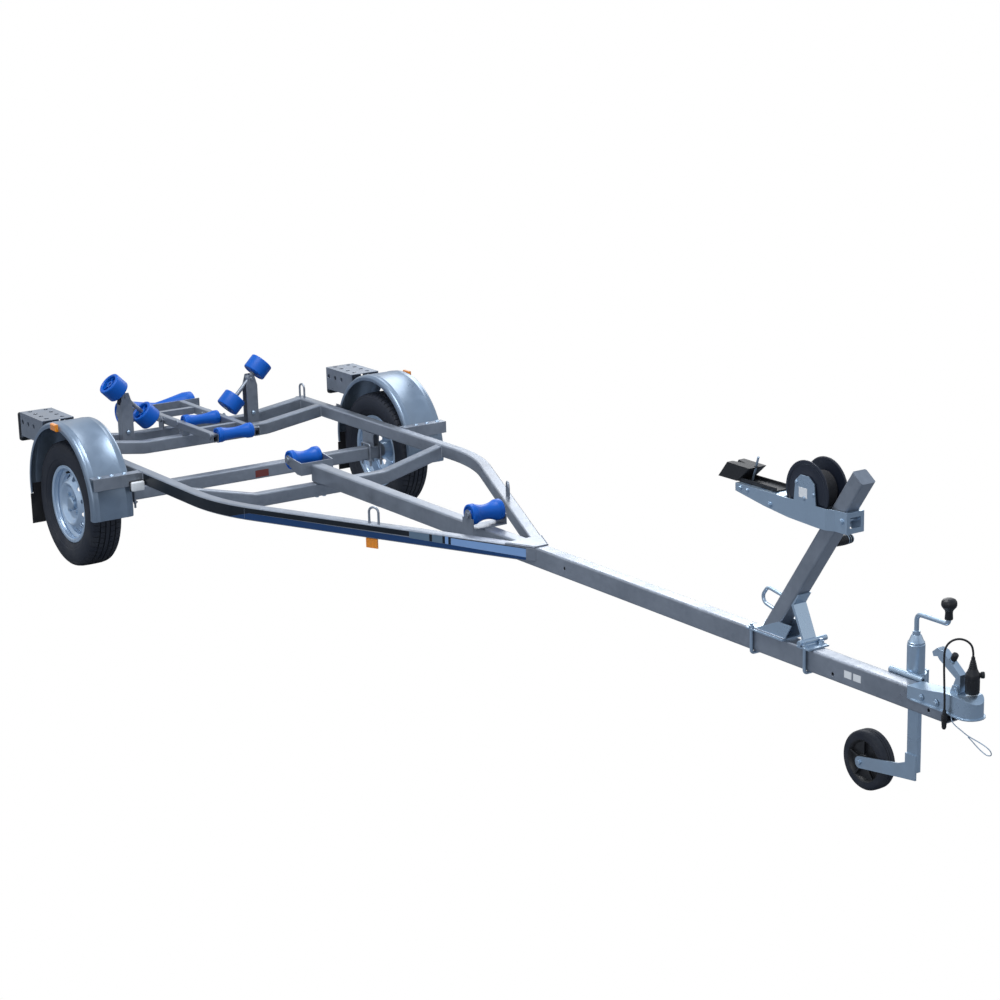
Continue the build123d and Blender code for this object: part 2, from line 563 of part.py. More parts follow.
def cradle_frame():
    """Ladder of two bars and rungs, with a yoke for the wide roller and roller pins."""
    low = BAR_TOP - BAR_H
    section = box_section(BAR_W, BAR_H, 3.0, 5.0)
    frame = None
    for sign in (-1, 1):
        plane = Plane.XZ.offset(-ahead(BAR_TAIL)) * Pos(sign * (BAR_IN + BAR_W / 2), low + BAR_H / 2)
        bar = extrude(plane * section, BAR_NOSE - BAR_TAIL)
        frame = bar if frame is None else frame + bar
    for place in RUNG_AHEAD:
        frame += block(-BAR_IN, BAR_IN, ahead(place + 15), ahead(place - 15), low + 4, low + 34)
    # yoke behind the bars: cross plate and two cheeks that hold the wide roller's pin
    place, height = VEE_ROLLER
    frame += block(-YOKE_IN - 6, YOKE_IN + 6, ahead(BAR_TAIL), ahead(BAR_TAIL - 6), low, BAR_TOP)
    for sign in (-1, 1):
        cheek = side_plate([(BAR_TAIL - 6, low), (place + 14, height - 18), (place - 16, height - 18),
                            (place - 16, height + 18), (place + 14, height + 18),
                            (BAR_TAIL - 6, BAR_TOP)], sign * YOKE_IN, sign * (YOKE_IN + 6))
        frame += cheek
    frame += disc(-YOKE_IN - 12, YOKE_IN + 12, ahead(place), height, PIN_R)
    # pins of the two rollers between the bars, with heads outside the bars
    reach = BAR_IN + BAR_W
    for name, place, height, end_r, waist_r in CRADLE_ROLLERS:
        frame += disc(-reach - 6, reach + 6, ahead(place), height, PIN_R)
        for sign in (-1, 1):
            frame += disc(sign * reach, sign * (reach + 6), ahead(place), height, 13)
    place, height = CRADLE_PIVOT
    frame += disc(-reach, -BAR_IN, ahead(place), height, PIN_R + 4)
    frame += disc(reach, BAR_IN, ahead(place), height, PIN_R + 4)
    frame -= disc(-reach - 20, reach + 20, ahead(place), height, PIN_R + RUN)
    return frame


def vee_roller():
    """Wide roller with two large lobes and a slim middle."""
    place, height = VEE_ROLLER
    bore, half, lobe, edge = PIN_R + RUN, VEE_HALF, 42.0, 9.0
    with BuildSketch(Plane.XY) as sketch:
        with BuildLine():
            Polyline((half - lobe, VEE_R), (half - edge, VEE_R), (half, VEE_R - edge), (half, bore),
                     (-half, bore), (-half, VEE_R - edge), (edge - half, VEE_R),
                     (lobe - half, VEE_R), (-22, VEE_WAIST), (22, VEE_WAIST), (half - lobe, VEE_R))
        make_face()
    return Pos(0, ahead(place), height) * revolve(sketch.sketch, axis=Axis.X)


# ------------------------------------------------------------------ wobble rollers
def roller_posts():
    """Channel posts on the rear member, each with a pivot pin through its pointed top."""
    def make():
        y0, y1 = ahead(WOBBLE_AHEAD + POST_D / 2), ahead(WOBBLE_AHEAD - POST_D / 2)
        x0, x1 = -POST_X - POST_W / 2, -POST_X + POST_W / 2
        foot, shoulder = REAR_TOP - CROSS_H + 4, WOBBLE_Z - 34
        outline = [(x0, foot), (x0, shoulder), (-POST_X - 14, WOBBLE_Z + 20),
                   (-POST_X + 14, WOBBLE_Z + 20), (x1, shoulder), (x1, foot)]
        face = make_face(Polyline(outline, close=True))
        post = block(x0, x0 + POST_T, y0, y1, foot, shoulder - 4)
        for y in (y0, y1 - POST_T):
            post += extrude(Plane.XZ.offset(-y) * face, -POST_T)
        post += rod((-POST_X, y0 - 6, WOBBLE_Z), (-POST_X, y1 + 6, WOBBLE_Z), PIN_R)
        return Compound(children=[*post.solids()])
    return both_sides(make)


def wobble_place(side, piece):
    """Turn a piece made along local X (outboard +) to the shaft's rest tilt."""
    piece = Pos(POST_X, ahead(WOBBLE_AHEAD), WOBBLE_Z) * Rot(0, -WOBBLE_TILT, 0) * piece
    return piece.mirror(Plane.YZ) if side < 0 else piece


def wobble_arm(side):
    """Shaft for two rollers, on a boss that pivots on the post's pin."""
    out_floor = WOBBLE_OUT + WOBBLE_LEN / 2 - WHEEL_CUP
    in_floor = -WOBBLE_IN + WOBBLE_LEN / 2 - WHEEL_CUP
    arm = disc(-WOBBLE_IN - WOBBLE_LEN / 2 - 6, out_floor + 8, 0, 0, SHAFT_R)
    boss = (POST_D - 2 * POST_T) / 2 - 1.5
    arm += rod((0, -boss, 0), (0, boss, 0), 17)
    for x0, x1 in ((WOBBLE_OUT - WOBBLE_LEN / 2 - 7, WOBBLE_OUT - WOBBLE_LEN / 2 - 1),
                   (out_floor + 1, out_floor + 5), (in_floor + 1, in_floor + 6),
                   (-WOBBLE_IN - WOBBLE_LEN / 2 - 5, -WOBBLE_IN - WOBBLE_LEN / 2 - 1)):
        arm += disc(x0, x1, 0, 0, SHAFT_R + 6)
    arm -= rod((0, -POST_D, 0), (0, POST_D, 0), PIN_R + RUN)
    return wobble_place(side, arm)


def wobble_wheel(side, centre):
    """Blue roller: rounded tread, hollow outboard face."""
    half, r, edge = WOBBLE_LEN / 2, WOBBLE_R, 7.0
    profile = [(half - edge, r), (half, r - edge), (half, CUP_R + 4), (half - 4, CUP_R),
               (half - WHEEL_CUP, CUP_R - 3), (half - WHEEL_CUP, SHAFT_R + RUN),
               (-half, SHAFT_R + RUN), (-half, r - edge), (-half + edge, r)]
    wheel = Pos(centre, 0, 0) * turned(profile, 0, 0)
    return wobble_place(side, wheel)


# ------------------------------------------------------------------ winch post
def post_axis(height):
    """Distance ahead of the post's centre line at a height."""
    return POST_FOOT + (height - TOP - 6) * math.tan(math.radians(POST_LEAN))


def winch_post():
    top = Vector(0, ahead(post_axis(POST_TOP)), POST_TOP)
    foot = Vector(0, ahead(post_axis(TOP - 60)), TOP - 60)
    section = Plane(origin=foot, x_dir=(1, 0, 0), z_dir=top - foot)
    tube = extrude(section * box_section(POST_SIZE, POST_SIZE, 4.0, 7.0), (top - foot).length)
    cap = extrude(section.offset((top - foot).length) * RectangleRounded(POST_SIZE, POST_SIZE, 7.0), 6)
    above = block(-200, 200, ahead(0), ahead(FAR), TOP + BASE_T, FAR)
    return (tube & above) + cap


def beam_strap(place, top):
    """U-bolt under the beam, its legs up through a plate, with nuts."""
    bar, x, y = 6.0, BEAM_W / 2 + 7.0, ahead(place)
    low = BEAM_BOTTOM - bar - AIR
    strap = bent_rod([(-x, y, top + 16), (-x, y, low), (x, y, low), (x, y, top + 16)],
                     [12, 12], bar)
    nuts = None
    for sign in (-1, 1):
        nut = Pos(sign * x, y, top) * extrude(RegularPolygon(11, 6), 9)
        nuts = nut if nuts is None else nuts + nut
    return strap + nuts


def strap_holes(place):
    """Two holes for the legs of the U-bolt at a place along the beam."""
    x, y = BEAM_W / 2 + 7.0, ahead(place)
    return rod((-x, y, TOP - 50), (-x, y, TOP + 50), 6.0) + rod((x, y, TOP - 50), (x, y, TOP + 50), 6.0)


def winch_post_base():
    """Base plate with gussets, front clamp with its cross bar, brace, U-bolts and hoop."""
    t, half, foot = BASE_T, 46.0, POST_FOOT
    low = TOP + t
    slant = POST_SIZE / 2 / math.cos(math.radians(POST_LEAN))
    plate = block(-half, half, ahead(foot - 90), ahead(foot + 100), TOP, low)
    for x in (-POST_SIZE / 2 - 5, POST_SIZE / 2):
        plate += side_plate([(foot - 60, low), (foot + 100, low), (foot + 133, TOP + 60),
                             (foot + 65, TOP + 60)], x, x + 5)
    clamp = block(-half, half, ahead(foot + 175), ahead(foot + 237), TOP, low)
    clamp += disc(-half - 4, half + 26, ahead(foot + 191), low + 10, 10)
    brace_top = TOP + 177
    face, lower = post_axis(brace_top) + slant, post_axis(brace_top - 44) + slant
    clamp += side_plate([(face, brace_top), (lower, brace_top - 44), (foot + 190, low),
                         (foot + 200, low), (lower + 12, brace_top - 40), (face + 7, brace_top)],
                        -28, 28)
    base = Compound(children=[*plate.solids(), *clamp.solids()]).solids()
    for place in (foot - 72, foot + 206):
        holes = strap_holes(place)
        base = [solid - holes for solid in base]
        base += beam_strap(place, low).solids()
    # hoop of round bar on the post's rear face
    low_z, high_z, reach = TOP + 82, TOP + 142, 88.0
    low_y, high_y = post_axis(low_z) - slant, post_axis(high_z) - slant
    hoop = bent_rod([(0, ahead(low_y), low_z), (0, ahead(low_y - reach), low_z + 20),
                     (0, ahead(high_y - reach), high_z + 14), (0, ahead(high_y), high_z)],
                    [24, 24], 6.5)
    behind = side_plate([(post_axis(0) - slant, 0), (post_axis(FAR) - slant, FAR), (-FAR, FAR),
                         (-FAR, 0)], -100, 100)
    return Compound(children=[*base, *(hoop & behind).solids()])


def carriage_plan(inset, rear, nose, low, top):
    """Upright prism of the carriage's outline from above, drawn in by an inset."""
    wide, slim = CARRIAGE_HALF - inset, PINCH_HALF - inset
    bend, end = POST_FOOT + 321, POST_FOOT + 351
    right = [(-wide, rear), (-wide, bend), (-slim, end), (-slim, nose)]
    left = [(-x, place) for x, place in reversed(right)]
    outline = Polyline([(x, ahead(place)) for x, place in right + left], close=True)
    return Pos(0, 0, low) * extrude(make_face(outline), top - low)


def winch_carriage():
    """Folded channel clamped on the post; its upright plates carry the winch drum."""
    rear, nose = CARRIAGE
    t, half, top, foot = CARRIAGE_T, CARRIAGE_HALF, CARRIAGE_TOP, POST_FOOT
    low = top - CARRIAGE_DEEP
    body = carriage_plan(0, rear, nose, low, top)
    body &= side_plate([(rear, top), (rear, top - 28), (foot + 10, top - 52), (foot + 135, top - 66),
                        (foot + 275, low), (nose, low), (nose, top)], -half, half)
    body -= carriage_plan(t, rear - 1, nose - t, low - 1, top - t)
    body -= carriage_plan(t, foot + 103, nose - 12, top - 20, top + 1)
    body -= block(-24, 24, ahead(nose + 1), ahead(nose - t - 1), low + 18, top - 18)
    for place in (foot - 95, foot - 15, foot + 50):
        slot = Pos(-36, ahead(place), top - 10) * extrude(SlotOverall(40, 9, rotation=90), 20)
        body -= slot + slot.mirror(Plane.YZ)
    # jaws that grip the post's sides
    for sign in (-1, 1):
        body += side_plate([(foot + 353, top - 40), (foot + 365, top - 40), (foot + 382, top - 16),
                            (foot + 353, top - 16)], sign * POST_SIZE / 2, sign * (PINCH_HALF - t))
    # upright plates of the winch
    axis, ear = DRUM_AHEAD, DRUM_Z + 34
    for x in (-half, half - t):
        body += side_plate([(axis - 55, top), (axis + 55, top), (axis + 47, ear), (axis + 19, ear + 22),
                            (axis - 21, ear + 22), (axis - 47, ear)], x, x + t)
    body -= disc(-half - 9, half + 9, ahead(axis), DRUM_Z, PIN_R + RUN)
    # clamp bolt in front of the post, bolt of the bow stop's arm, and the pin behind the stop
    for place, height, reach in ((post_axis(top - 36) + 50, top - 32, PINCH_HALF),
                                 (foot + 40, top - 42, half)):
        body += disc(-reach - 7, reach + 7, ahead(place), height, 6)
        for sign in (-1, 1):
            body += disc(sign * reach, sign * (reach + 5), ahead(place), height, 10)
    body += rod((0, ahead(foot - 115), top - 1), (0, ahead(foot - 82), top + 92), 4)
    return body


def bow_stop():
    """Rubber vee block on a shallow channel arm that lies on the carriage."""
    foot, top = POST_FOOT, CARRIAGE_TOP
    base = top + AIR
    stop = side_plate([(foot - 252, base), (foot - 204, top + 58), (foot - 85, top + 56),
                       (foot - 152, base)], -PINCH_HALF, PINCH_HALF)
    notch = make_face(Polyline([(-34, ahead(foot - 290)), (34, ahead(foot - 290)),
                                (0, ahead(foot - 150))], close=True))
    stop -= extrude(Plane.XY.offset(top - 98) * notch, 300)
    stop += block(-34, 34, ahead(foot - 170), ahead(foot + 50), base, base + 4)
    for x in (-34, 30):
        stop += block(x, x + 4, ahead(foot - 170), ahead(foot + 50), base, base + 14)
    return stop - rod((0, ahead(foot - 122), top - 20), (0, ahead(foot - 75), top + 112), 7)


def winch_drum():
    drum = disc(-FLANGE_X, FLANGE_X, 0, 0, CORE_R)
    for x in (-FLANGE_X, FLANGE_X - FLANGE_T):
        flange = disc(x, x + FLANGE_T, 0, 0, FLANGE_R)
        drum += flange
    drum += disc(-CARRIAGE_HALF - 6, CARRIAGE_HALF + 26, 0, 0, PIN_R)
    return Pos(0, ahead(DRUM_AHEAD), DRUM_Z) * drum


def winch_strap():
    inner = FLANGE_X - FLANGE_T - 1
    return Pos(0, ahead(DRUM_AHEAD), DRUM_Z) * ring(-inner, inner, 0, 0, STRAP_R, CORE_R)


def winch_crank():
    """Crank on the drum's shaft, hanging down on the port side, with a turned grip."""
    x = CARRIAGE_HALF + 10
    arm = disc(x, x + 14, 0, 0, 16) + block(x + 2, x + 12, -11, 11, -CRANK_LEN, 0)
    arm += disc(x + 2, x + 12, 0, -CRANK_LEN, 14)
    grip = [(x + 12, 14), (x + 40, 15), (x + 70, 17), (x + 92, 15), (x + 98, 9), (x + 98, 0),
            (x + 12, 0)]
    arm += turned(grip, 0, -CRANK_LEN)
    arm -= disc(x - 9, x + 20, 0, 0, PIN_R)
    return Pos(0, ahead(DRUM_AHEAD), DRUM_Z) * arm


# ------------------------------------------------------------------ jockey wheel
def jockey_clamp():
    """Clamp ring on the beam's side, with its hinge tube along the beam."""
    x, y, low, high = JOCKEY_X, ahead(JOCKEY_AHEAD), CLAMP_LOW, CLAMP_TOP
    hinge_x, hinge_r = BEAM_W / 2 + 11.0, 12.0
    body = rod((x, y, low), (x, y, high), TUBE_R + 7)
    body += block(BEAM_W / 2, x - 20, y - 42, y + 42, low, high)
    body += block(x + 20, x + 52, y - 9, y + 9, low, high)
    body += rod((hinge_x, y - 76, high), (hinge_x, y + 76, high), hinge_r)
    body -= rod((x, y, low - 20), (x, y, high + 20), TUBE_R)
    body -= block(x + 20, x + 60, y - 2, y + 2, low - 20, high + 20)
    return body - rod((hinge_x, y - 90, high), (hinge_x, y + 90, high), 6)


def jockey_tube():
    x, y = JOCKEY_X, ahead(JOCKEY_AHEAD)
    tube = rod((x, y, TUBE_LOW), (x, y, TUBE_TOP), TUBE_R)
    tube -= rod((x, y, TUBE_LOW - 1), (x, y, TUBE_TOP - 6), TUBE_BORE)
    tube -= rod((x, y, TUBE_LOW), (x, y, TUBE_TOP + 1), PIN_R + RUN)
    return chamfer(tube.edges().filter_by(GeomType.CIRCLE).sort_by(Axis.Z)[-2], 3)


def jockey_crank():
    x, y, z = JOCKEY_X, ahead(JOCKEY_AHEAD), TUBE_TOP
    crank = bent_rod([(x, y, z - 12), (x, y, JCRANK_Z), (x, y - JCRANK_REACH, JCRANK_Z),
                      (x, y - JCRANK_REACH, JCRANK_Z + 42)], [22, 14], PIN_R)
    crank += rod((x, y, z + AIR), (x, y, z + 42), 13)
    return crank


def jockey_knob():
    profile = [(0, PIN_R), (0, 13), (30, 13), (38, 22), (48, 26), (60, 25), (70, 14), (70, 0),
               (27, 0), (27, PIN_R)]
    knob = Rot(0, -90, 0) * turned(profile, 0, 0)
    return Pos(JOCKEY_X, ahead(JOCKEY_AHEAD) - JCRANK_REACH, JCRANK_Z + 16) * knob


def jockey_slider():
    """Screw nut that travels inside the outer tube and carries the leg's swivel."""
    x, y = JOCKEY_X, ahead(JOCKEY_AHEAD)
    nut = rod((x, y, LEG_TOP + 1), (x, y, LEG_TOP + 17), TUBE_BORE - RUN)
    nut += rod((x, y, LEG_TOP - 40), (x, y, LEG_TOP + 1), 5)
    return nut


def jockey_leg():
    """Formed leg in the tube, side arm down to the wheel's axle bolt."""
    x, y = JOCKEY_X, ahead(JOCKEY_AHEAD)
    section = Plane.XY.offset(LEG_LOW) * Pos(x, y) * box_section(LEG_W, LEG_D, 3.0, 4.0)
    leg = extrude(section, LEG_TOP - LEG_LOW)
    leg += block(x - 7, x + 7, y - 22, y + 22, LEG_TOP - 50, LEG_TOP - 2)
    leg -= rod((x, y, LEG_TOP - 45), (x, y, LEG_TOP + 1), 5 + RUN)
    face, t = x - LEG_W / 2, 6.0
    arm = side_plate([(JOCKEY_AHEAD + 25, LEG_LOW + 60), (JOCKEY_AHEAD + 25, LEG_LOW - 26),
                      (JOCKEY_AHEAD - 40, LEG_LOW - 34), (JWHEEL_AHEAD, JWHEEL_R - 21),
                      (JWHEEL_AHEAD, JWHEEL_R + 21), (JOCKEY_AHEAD - 60, LEG_LOW + 12),
                      (JOCKEY_AHEAD - 25, LEG_LOW + 26), (JOCKEY_AHEAD - 25, LEG_LOW + 60)],
                     face - t, face)
    arm += disc(face - t, face, ahead(JWHEEL_AHEAD), JWHEEL_R, 21)
    bolt_end = JWHEEL_X + JWHEEL_W / 2 + 12
    arm += disc(face - t - 7, bolt_end, ahead(JWHEEL_AHEAD), JWHEEL_R, PIN_R)
    arm += disc(face, JWHEEL_X - JWHEEL_W / 2 - 1, ahead(JWHEEL_AHEAD), JWHEEL_R, 14)
    arm += disc(bolt_end - 11, bolt_end - 2, ahead(JWHEEL_AHEAD), JWHEEL_R, 13)
    return leg + arm


def jockey_wheel():
    half, r = JWHEEL_W / 2, JWHEEL_R
    with BuildSketch(Plane.XY) as sketch:
        with BuildLine():
            Polyline((-half + 2, r - 30), (-half + 12, r - 34), (-half + 12, 26), (-half, 24),
                     (-half, PIN_R + RUN), (half, PIN_R + RUN), (half, 24), (half - 12, 26),
                     (half - 12, r - 34), (half - 2, r - 30), (half - 1, r - 14))
            ThreePointArc((half - 1, r - 14), (half - 6, r - 4), (half - 18, r))
            Line((half - 18, r), (18 - half, r))
            ThreePointArc((18 - half, r), (6 - half, r - 4), (1 - half, r - 14))
            Line((1 - half, r - 14), (-half + 2, r - 30))
        make_face()
    wheel = revolve(sketch.sketch, axis=Axis.X)
    for k in range(5):
        turn = Rot(72.0 * k, 0, 0)
        wheel -= turn * disc(-half - 5, half + 5, 0, 46, 9)
    return Pos(JWHEEL_X, ahead(JWHEEL_AHEAD), JWHEEL_R) * wheel


# ------------------------------------------------------------------ coupling
def coupling_plan(half, radius, start):
    """Coupling's outline from above: straight sides that swing in to the round nose."""
    ball, neck = ahead(BALL_AHEAD), ahead(BALL_AHEAD - 97)
    with BuildSketch(Plane.XY) as sketch:
        with BuildLine():
            Polyline((-radius, ball), (-half, neck), (-half, ahead(start)),
                     (half, ahead(start)), (half, neck), (radius, ball))
            ThreePointArc((radius, ball), (0, ball - radius), (-radius, ball))
        make_face()
    return sketch.sketch


def coupling_body():
    """Pressed ball coupling: cover over the beam's end, rising to a domed ball cup."""
    wall, flare, low = 4.0, 6.0, COUPLING_LOW
    rear, tip = COUPLING
    ball = BALL_AHEAD
    nose_r = tip - 9 - ball
    half = BEAM_W / 2 + wall
    outer = extrude(Plane.XY.offset(low) * coupling_plan(half, nose_r, rear), 80)
    side = side_plate([(rear - 5, low), (rear - 5, TOP + wall), (ball - 182, TOP + wall + 4),
                       (ball - 72, 510), (ball + 12, 514), (ball + 54, 492), (ball + 54, low)],
                      -half - 10, half + 10)
    outer = outer & side
    inner = extrude(Plane.XY.offset(low - 1) * coupling_plan(BEAM_W / 2, nose_r - 8, rear - 10), 200)
    hollow = side_plate([(rear - 20, low - 2), (rear - 20, TOP), (ball - 182, TOP + 4),
                         (ball - 82, 505), (ball - 40, 505), (ball - 40, low - 2)], -half, half)
    body = outer - (inner & hollow)
    lip = extrude(Plane.XY.offset(low) * coupling_plan(half + flare, nose_r + flare, rear + 20), 4)
    lip -= extrude(Plane.XY.offset(low - 1) * coupling_plan(BEAM_W / 2, nose_r - 8, rear - 10), 10)
    body += lip
    body += rod((0, ahead(ball), low), (0, ahead(ball), BALL_Z + 20), nose_r - 2)
    body -= Pos(0, ahead(ball), BALL_Z) * Sphere(BALL_R)
    body -= rod((0, ahead(ball), low - 5), (0, ahead(ball), BALL_Z), BALL_R)
    for sign in (-1, 1):
        body += side_plate([(ball - 72, 506), (ball - 34, 508), (ball - 40, 538), (ball - 60, 538)],
                           sign * 15, sign * 19)
    body += disc(-22, 22, ahead(ball - 50), 526, 5)
    return body


def coupling_handle():
    """Lift lever of the coupling with a hooked grip."""
    ball = BALL_AHEAD
    lever = side_plate([(ball - 38, 514), (ball - 32, 540), (ball - 32, 574), (ball - 112, 636),
                        (ball - 136, 640), (ball - 158, 622), (ball - 152, 608), (ball - 134, 613),
                        (ball - 126, 604), (ball - 52, 560), (ball - 62, 536), (ball - 62, 517)],
                       -14, 14)
    lever -= disc(-30, 30, ahead(ball - 50), 526, 5 + RUN)
    lever += rod((0, ahead(ball - 82), 604), (0, ahead(ball - 68), 632), 9)
    return lever


# ------------------------------------------------------------------ cords
CABLE_R, WIRE_R = 3.5, 1.8
GLAND = (-BEAM_W / 2 - 21.0, 4782.0, 425.0)         # x, ahead, height
PLUG = (10.0, 4841.0, 520.0)
# cable from gland to plug: distance along the line between them, height
CABLE_SIDE = ((0, 462), (0, 494), (-2, 540), (-4, 590), (-5, 632), (-3, 667.5), (14, 690.7),
              (40, 699.2), (66, 690.7), (82, 668.6), (82, 640))
# wire under the coupling's lip: x, ahead, height, then its loop in the loop's own plane
WIRE_LEAD = ((-41, 4802, 445.6), (-41, 4803, 436), (-41, 4810, 425), (-40.5, 4823, 417.5),
             (-38.5, 4845, 409))
WIRE_NECK = (-36.0, 4868.0, 399.0)
WIRE_LOOP = ((0, 0), (20, -6), (40, -15), (60, -21), (81.2, -22), (92.7, -13.6), (97.1, 0),
             (92.7, 13.6), (81.2, 22), (60, 21), (40, 15), (20, 7), (6, 4.2))
LOOP_U, LOOP_V = (0.379, 0.738, -0.558), (0.331, -0.672, -0.664)


def cable_route():
    """Points of the cable, in one upright plane through the gland and the plug."""
    dx, dy = PLUG[0] - GLAND[0], PLUG[1] - GLAND[1]
    span = CABLE_SIDE[-1][0]
    return [(round(GLAND[0] + dx * s / span, 2), round(ahead(GLAND[1] + dy * s / span), 2), z)
            for s, z in CABLE_SIDE]


def wire_route():
    """Points of the breakaway wire: the lead, then the loop at its free end."""
    lead = [(x, ahead(a), z) for x, a, z in WIRE_LEAD]
    loop = []
    for u, v in WIRE_LOOP:
        x, a, z = (n + u * du + v * dv for n, du, dv in zip(WIRE_NECK, LOOP_U, LOOP_V))
        loop.append((round(x, 2), round(ahead(a), 2), round(z, 2)))
    return lead + loop


def cord(route, radius):
    """Tube of straight runs joined by arcs, each as large as its runs allow."""
    radii = []
    for a, b, c in zip(route, route[1:], route[2:]):
        into, out = Vector(*b) - Vector(*a), Vector(*c) - Vector(*b)
        turn = math.radians(into.get_angle(out))
        radii.append(0.45 * min(into.length, out.length) / math.tan(turn / 2))
    print("cord radii", [round(r, 1) for r in radii])
    path = FilletPolyline(*route, radius=radii)
    tube = sweep(Plane(origin=path @ 0, z_dir=path % 0) * Circle(radius), path=path)
    share = tube.volume / (math.pi * radius ** 2 * path.length)
    print("volume over section times length", round(share, 4))
    return tube


def cable_gland():
    """Rubber gland under the coupling's side lip, where the cable leaves."""
    x, y, z = GLAND[0], ahead(GLAND[1]), GLAND[2]
    body = rod((x, y, z - 27), (x, y, COUPLING_LOW - 0.2), 10)
    body = chamfer(body.edges().filter_by(GeomType.CIRCLE).sort_by(Axis.Z)[0], 4)
    return body + rod((x, y, z), (x, y, CABLE_SIDE[0][1]), 6.5)


def plug():
    """Trailer plug: round body with a side key, tapering into its boot."""
    x, y, z = PLUG[0], ahead(PLUG[1]), PLUG[2]
    profile = [(0, 0), (0, 21), (4, 23), (50, 23), (53, 24), (66, 24), (74, 17), (100, 9),
               (CABLE_SIDE[-1][1] - z, 6.5), (CABLE_SIDE[-1][1] - z, 0)]
    body = turned(profile, 0, 0)
    body = Rot(0, -90, 0) * body
    key = block(-6, 6, -31, -20, 28, 58)
    return Pos(x, y, z) * (body + key)


# ------------------------------------------------------------------ build
os.makedirs("parts", exist_ok=True)
write(keel_beam(), "keel_beam")
write(apex_plate(), "apex_plate")
for sign, name in SIDES:
    write(side_rail(sign), "side_rail_" + name)
for node, place, flat, low_top, end_top, bend in CROSS_MEMBERS:
    write(cross_member(place, flat, low_top, end_top, bend), node)
write(axle_tube(), "axle_tube")
write(axle_brackets(), "axle_brackets")
write(suspension_arms(), "suspension_arms")
for sign, name in SIDES:
    write(tyre(sign), "tyre_" + name)
    write(rim(sign), "rim_" + name)
    write(hub(sign), "hub_" + name)
    write(mudguard(sign), "mudguard_" + name)
write(mudguard_brackets(), "mudguard_brackets")
write(mud_flaps(), "mud_flaps")
write(lamp_brackets(), "lamp_brackets")
write(rear_lamps(), "rear_lamps")
write(front_marker_lamps(), "front_marker_lamps")
write(amber_side_lamps(), "amber_side_lamps")
write(tie_down_eyes(), "tie_down_eyes")
write(roller_brackets(), "roller_brackets")
write(waisted_roller(KEEL_R, KEEL_WAIST, KEEL_LEN, *FRONT_ROLLER), "keel_roller_front")
write(waisted_roller(KEEL_R, KEEL_WAIST, KEEL_LEN, *MIDDLE_ROLLER), "keel_roller_middle")
write(cradle_mounts(), "cradle_mounts")
write(cradle_frame(), "cradle_frame")
for name, place, height, end_r, waist_r in CRADLE_ROLLERS:
    length = 2 * (BAR_IN - ROLLER_SIDE)
    write(waisted_roller(end_r, waist_r, length, place, height), name)
write(vee_roller(), "cradle_roller_rear")
write(roller_posts(), "roller_posts")
for sign, name in SIDES:
    write(wobble_arm(sign), "wobble_arm_" + name)
    write(wobble_wheel(sign, WOBBLE_OUT), "wobble_roller_" + name + "_outer")
    write(wobble_wheel(sign, -WOBBLE_IN), "wobble_roller_" + name + "_inner")
write(winch_post(), "winch_post")
write(winch_post_base(), "winch_post_base")
write(winch_carriage(), "winch_carriage")
write(bow_stop(), "bow_stop")
write(winch_drum(), "winch_drum")
write(winch_strap(), "winch_strap")
write(winch_crank(), "winch_crank")
write(jockey_clamp(), "jockey_clamp")
write(jockey_tube(), "jockey_tube")
write(jockey_crank(), "jockey_crank")
write(jockey_knob(), "jockey_knob")
write(jockey_slider(), "jockey_slider")
write(jockey_leg(), "jockey_leg")
write(jockey_wheel(), "jockey_wheel")
write(coupling_body(), "coupling_body")
write(coupling_handle(), "coupling_handle")
write(cable_gland(), "cable_gland")
write(cord(cable_route(), CABLE_R), "cable")
write(plug(), "plug")
write(cord(wire_route(), WIRE_R), "breakaway_wire")
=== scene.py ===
"""Boat trailer: finishes, tyres, rollers, decals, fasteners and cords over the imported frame."""

import bmesh
import bpy
import json
import math
from bpy.props import FloatProperty, FloatVectorProperty, IntProperty, PointerProperty
from bpy.types import Operator, Panel, PropertyGroup
from mathutils import Matrix, Vector


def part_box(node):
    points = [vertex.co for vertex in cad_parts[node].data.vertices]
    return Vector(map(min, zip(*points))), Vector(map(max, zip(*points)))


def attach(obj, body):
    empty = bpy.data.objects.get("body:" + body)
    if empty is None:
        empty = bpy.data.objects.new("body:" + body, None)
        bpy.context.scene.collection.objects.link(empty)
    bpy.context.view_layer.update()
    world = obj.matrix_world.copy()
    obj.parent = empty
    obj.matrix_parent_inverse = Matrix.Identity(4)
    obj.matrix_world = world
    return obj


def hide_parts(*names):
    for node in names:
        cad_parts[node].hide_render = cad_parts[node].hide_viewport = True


bl_info = {
    "name": "Boat Trailer",
    "version": (1, 0, 0),
    "blender": (4, 5, 0),
    "location": "View3D > Sidebar > Boat Trailer",
    "description": "Builds the visible pieces and finishes of a roller boat trailer",
    "category": "Object",
}

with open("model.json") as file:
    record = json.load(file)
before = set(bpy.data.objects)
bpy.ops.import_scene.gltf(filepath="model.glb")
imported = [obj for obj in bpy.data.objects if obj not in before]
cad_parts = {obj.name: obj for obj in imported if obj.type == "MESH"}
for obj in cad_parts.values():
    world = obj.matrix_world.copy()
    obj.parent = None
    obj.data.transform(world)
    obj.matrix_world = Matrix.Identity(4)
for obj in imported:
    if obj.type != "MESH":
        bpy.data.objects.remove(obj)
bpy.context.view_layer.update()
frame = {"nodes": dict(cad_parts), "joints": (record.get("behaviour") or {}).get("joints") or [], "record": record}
NODES = frame["nodes"]
JOINT = {j["name"]: Vector(j["pos_m"]) for j in frame["joints"] if "pos_m" in j}
AXLE = JOINT["wheel_right_spin"]
SIDES = ((-1, "right"), (1, "left"))
MM = 0.001

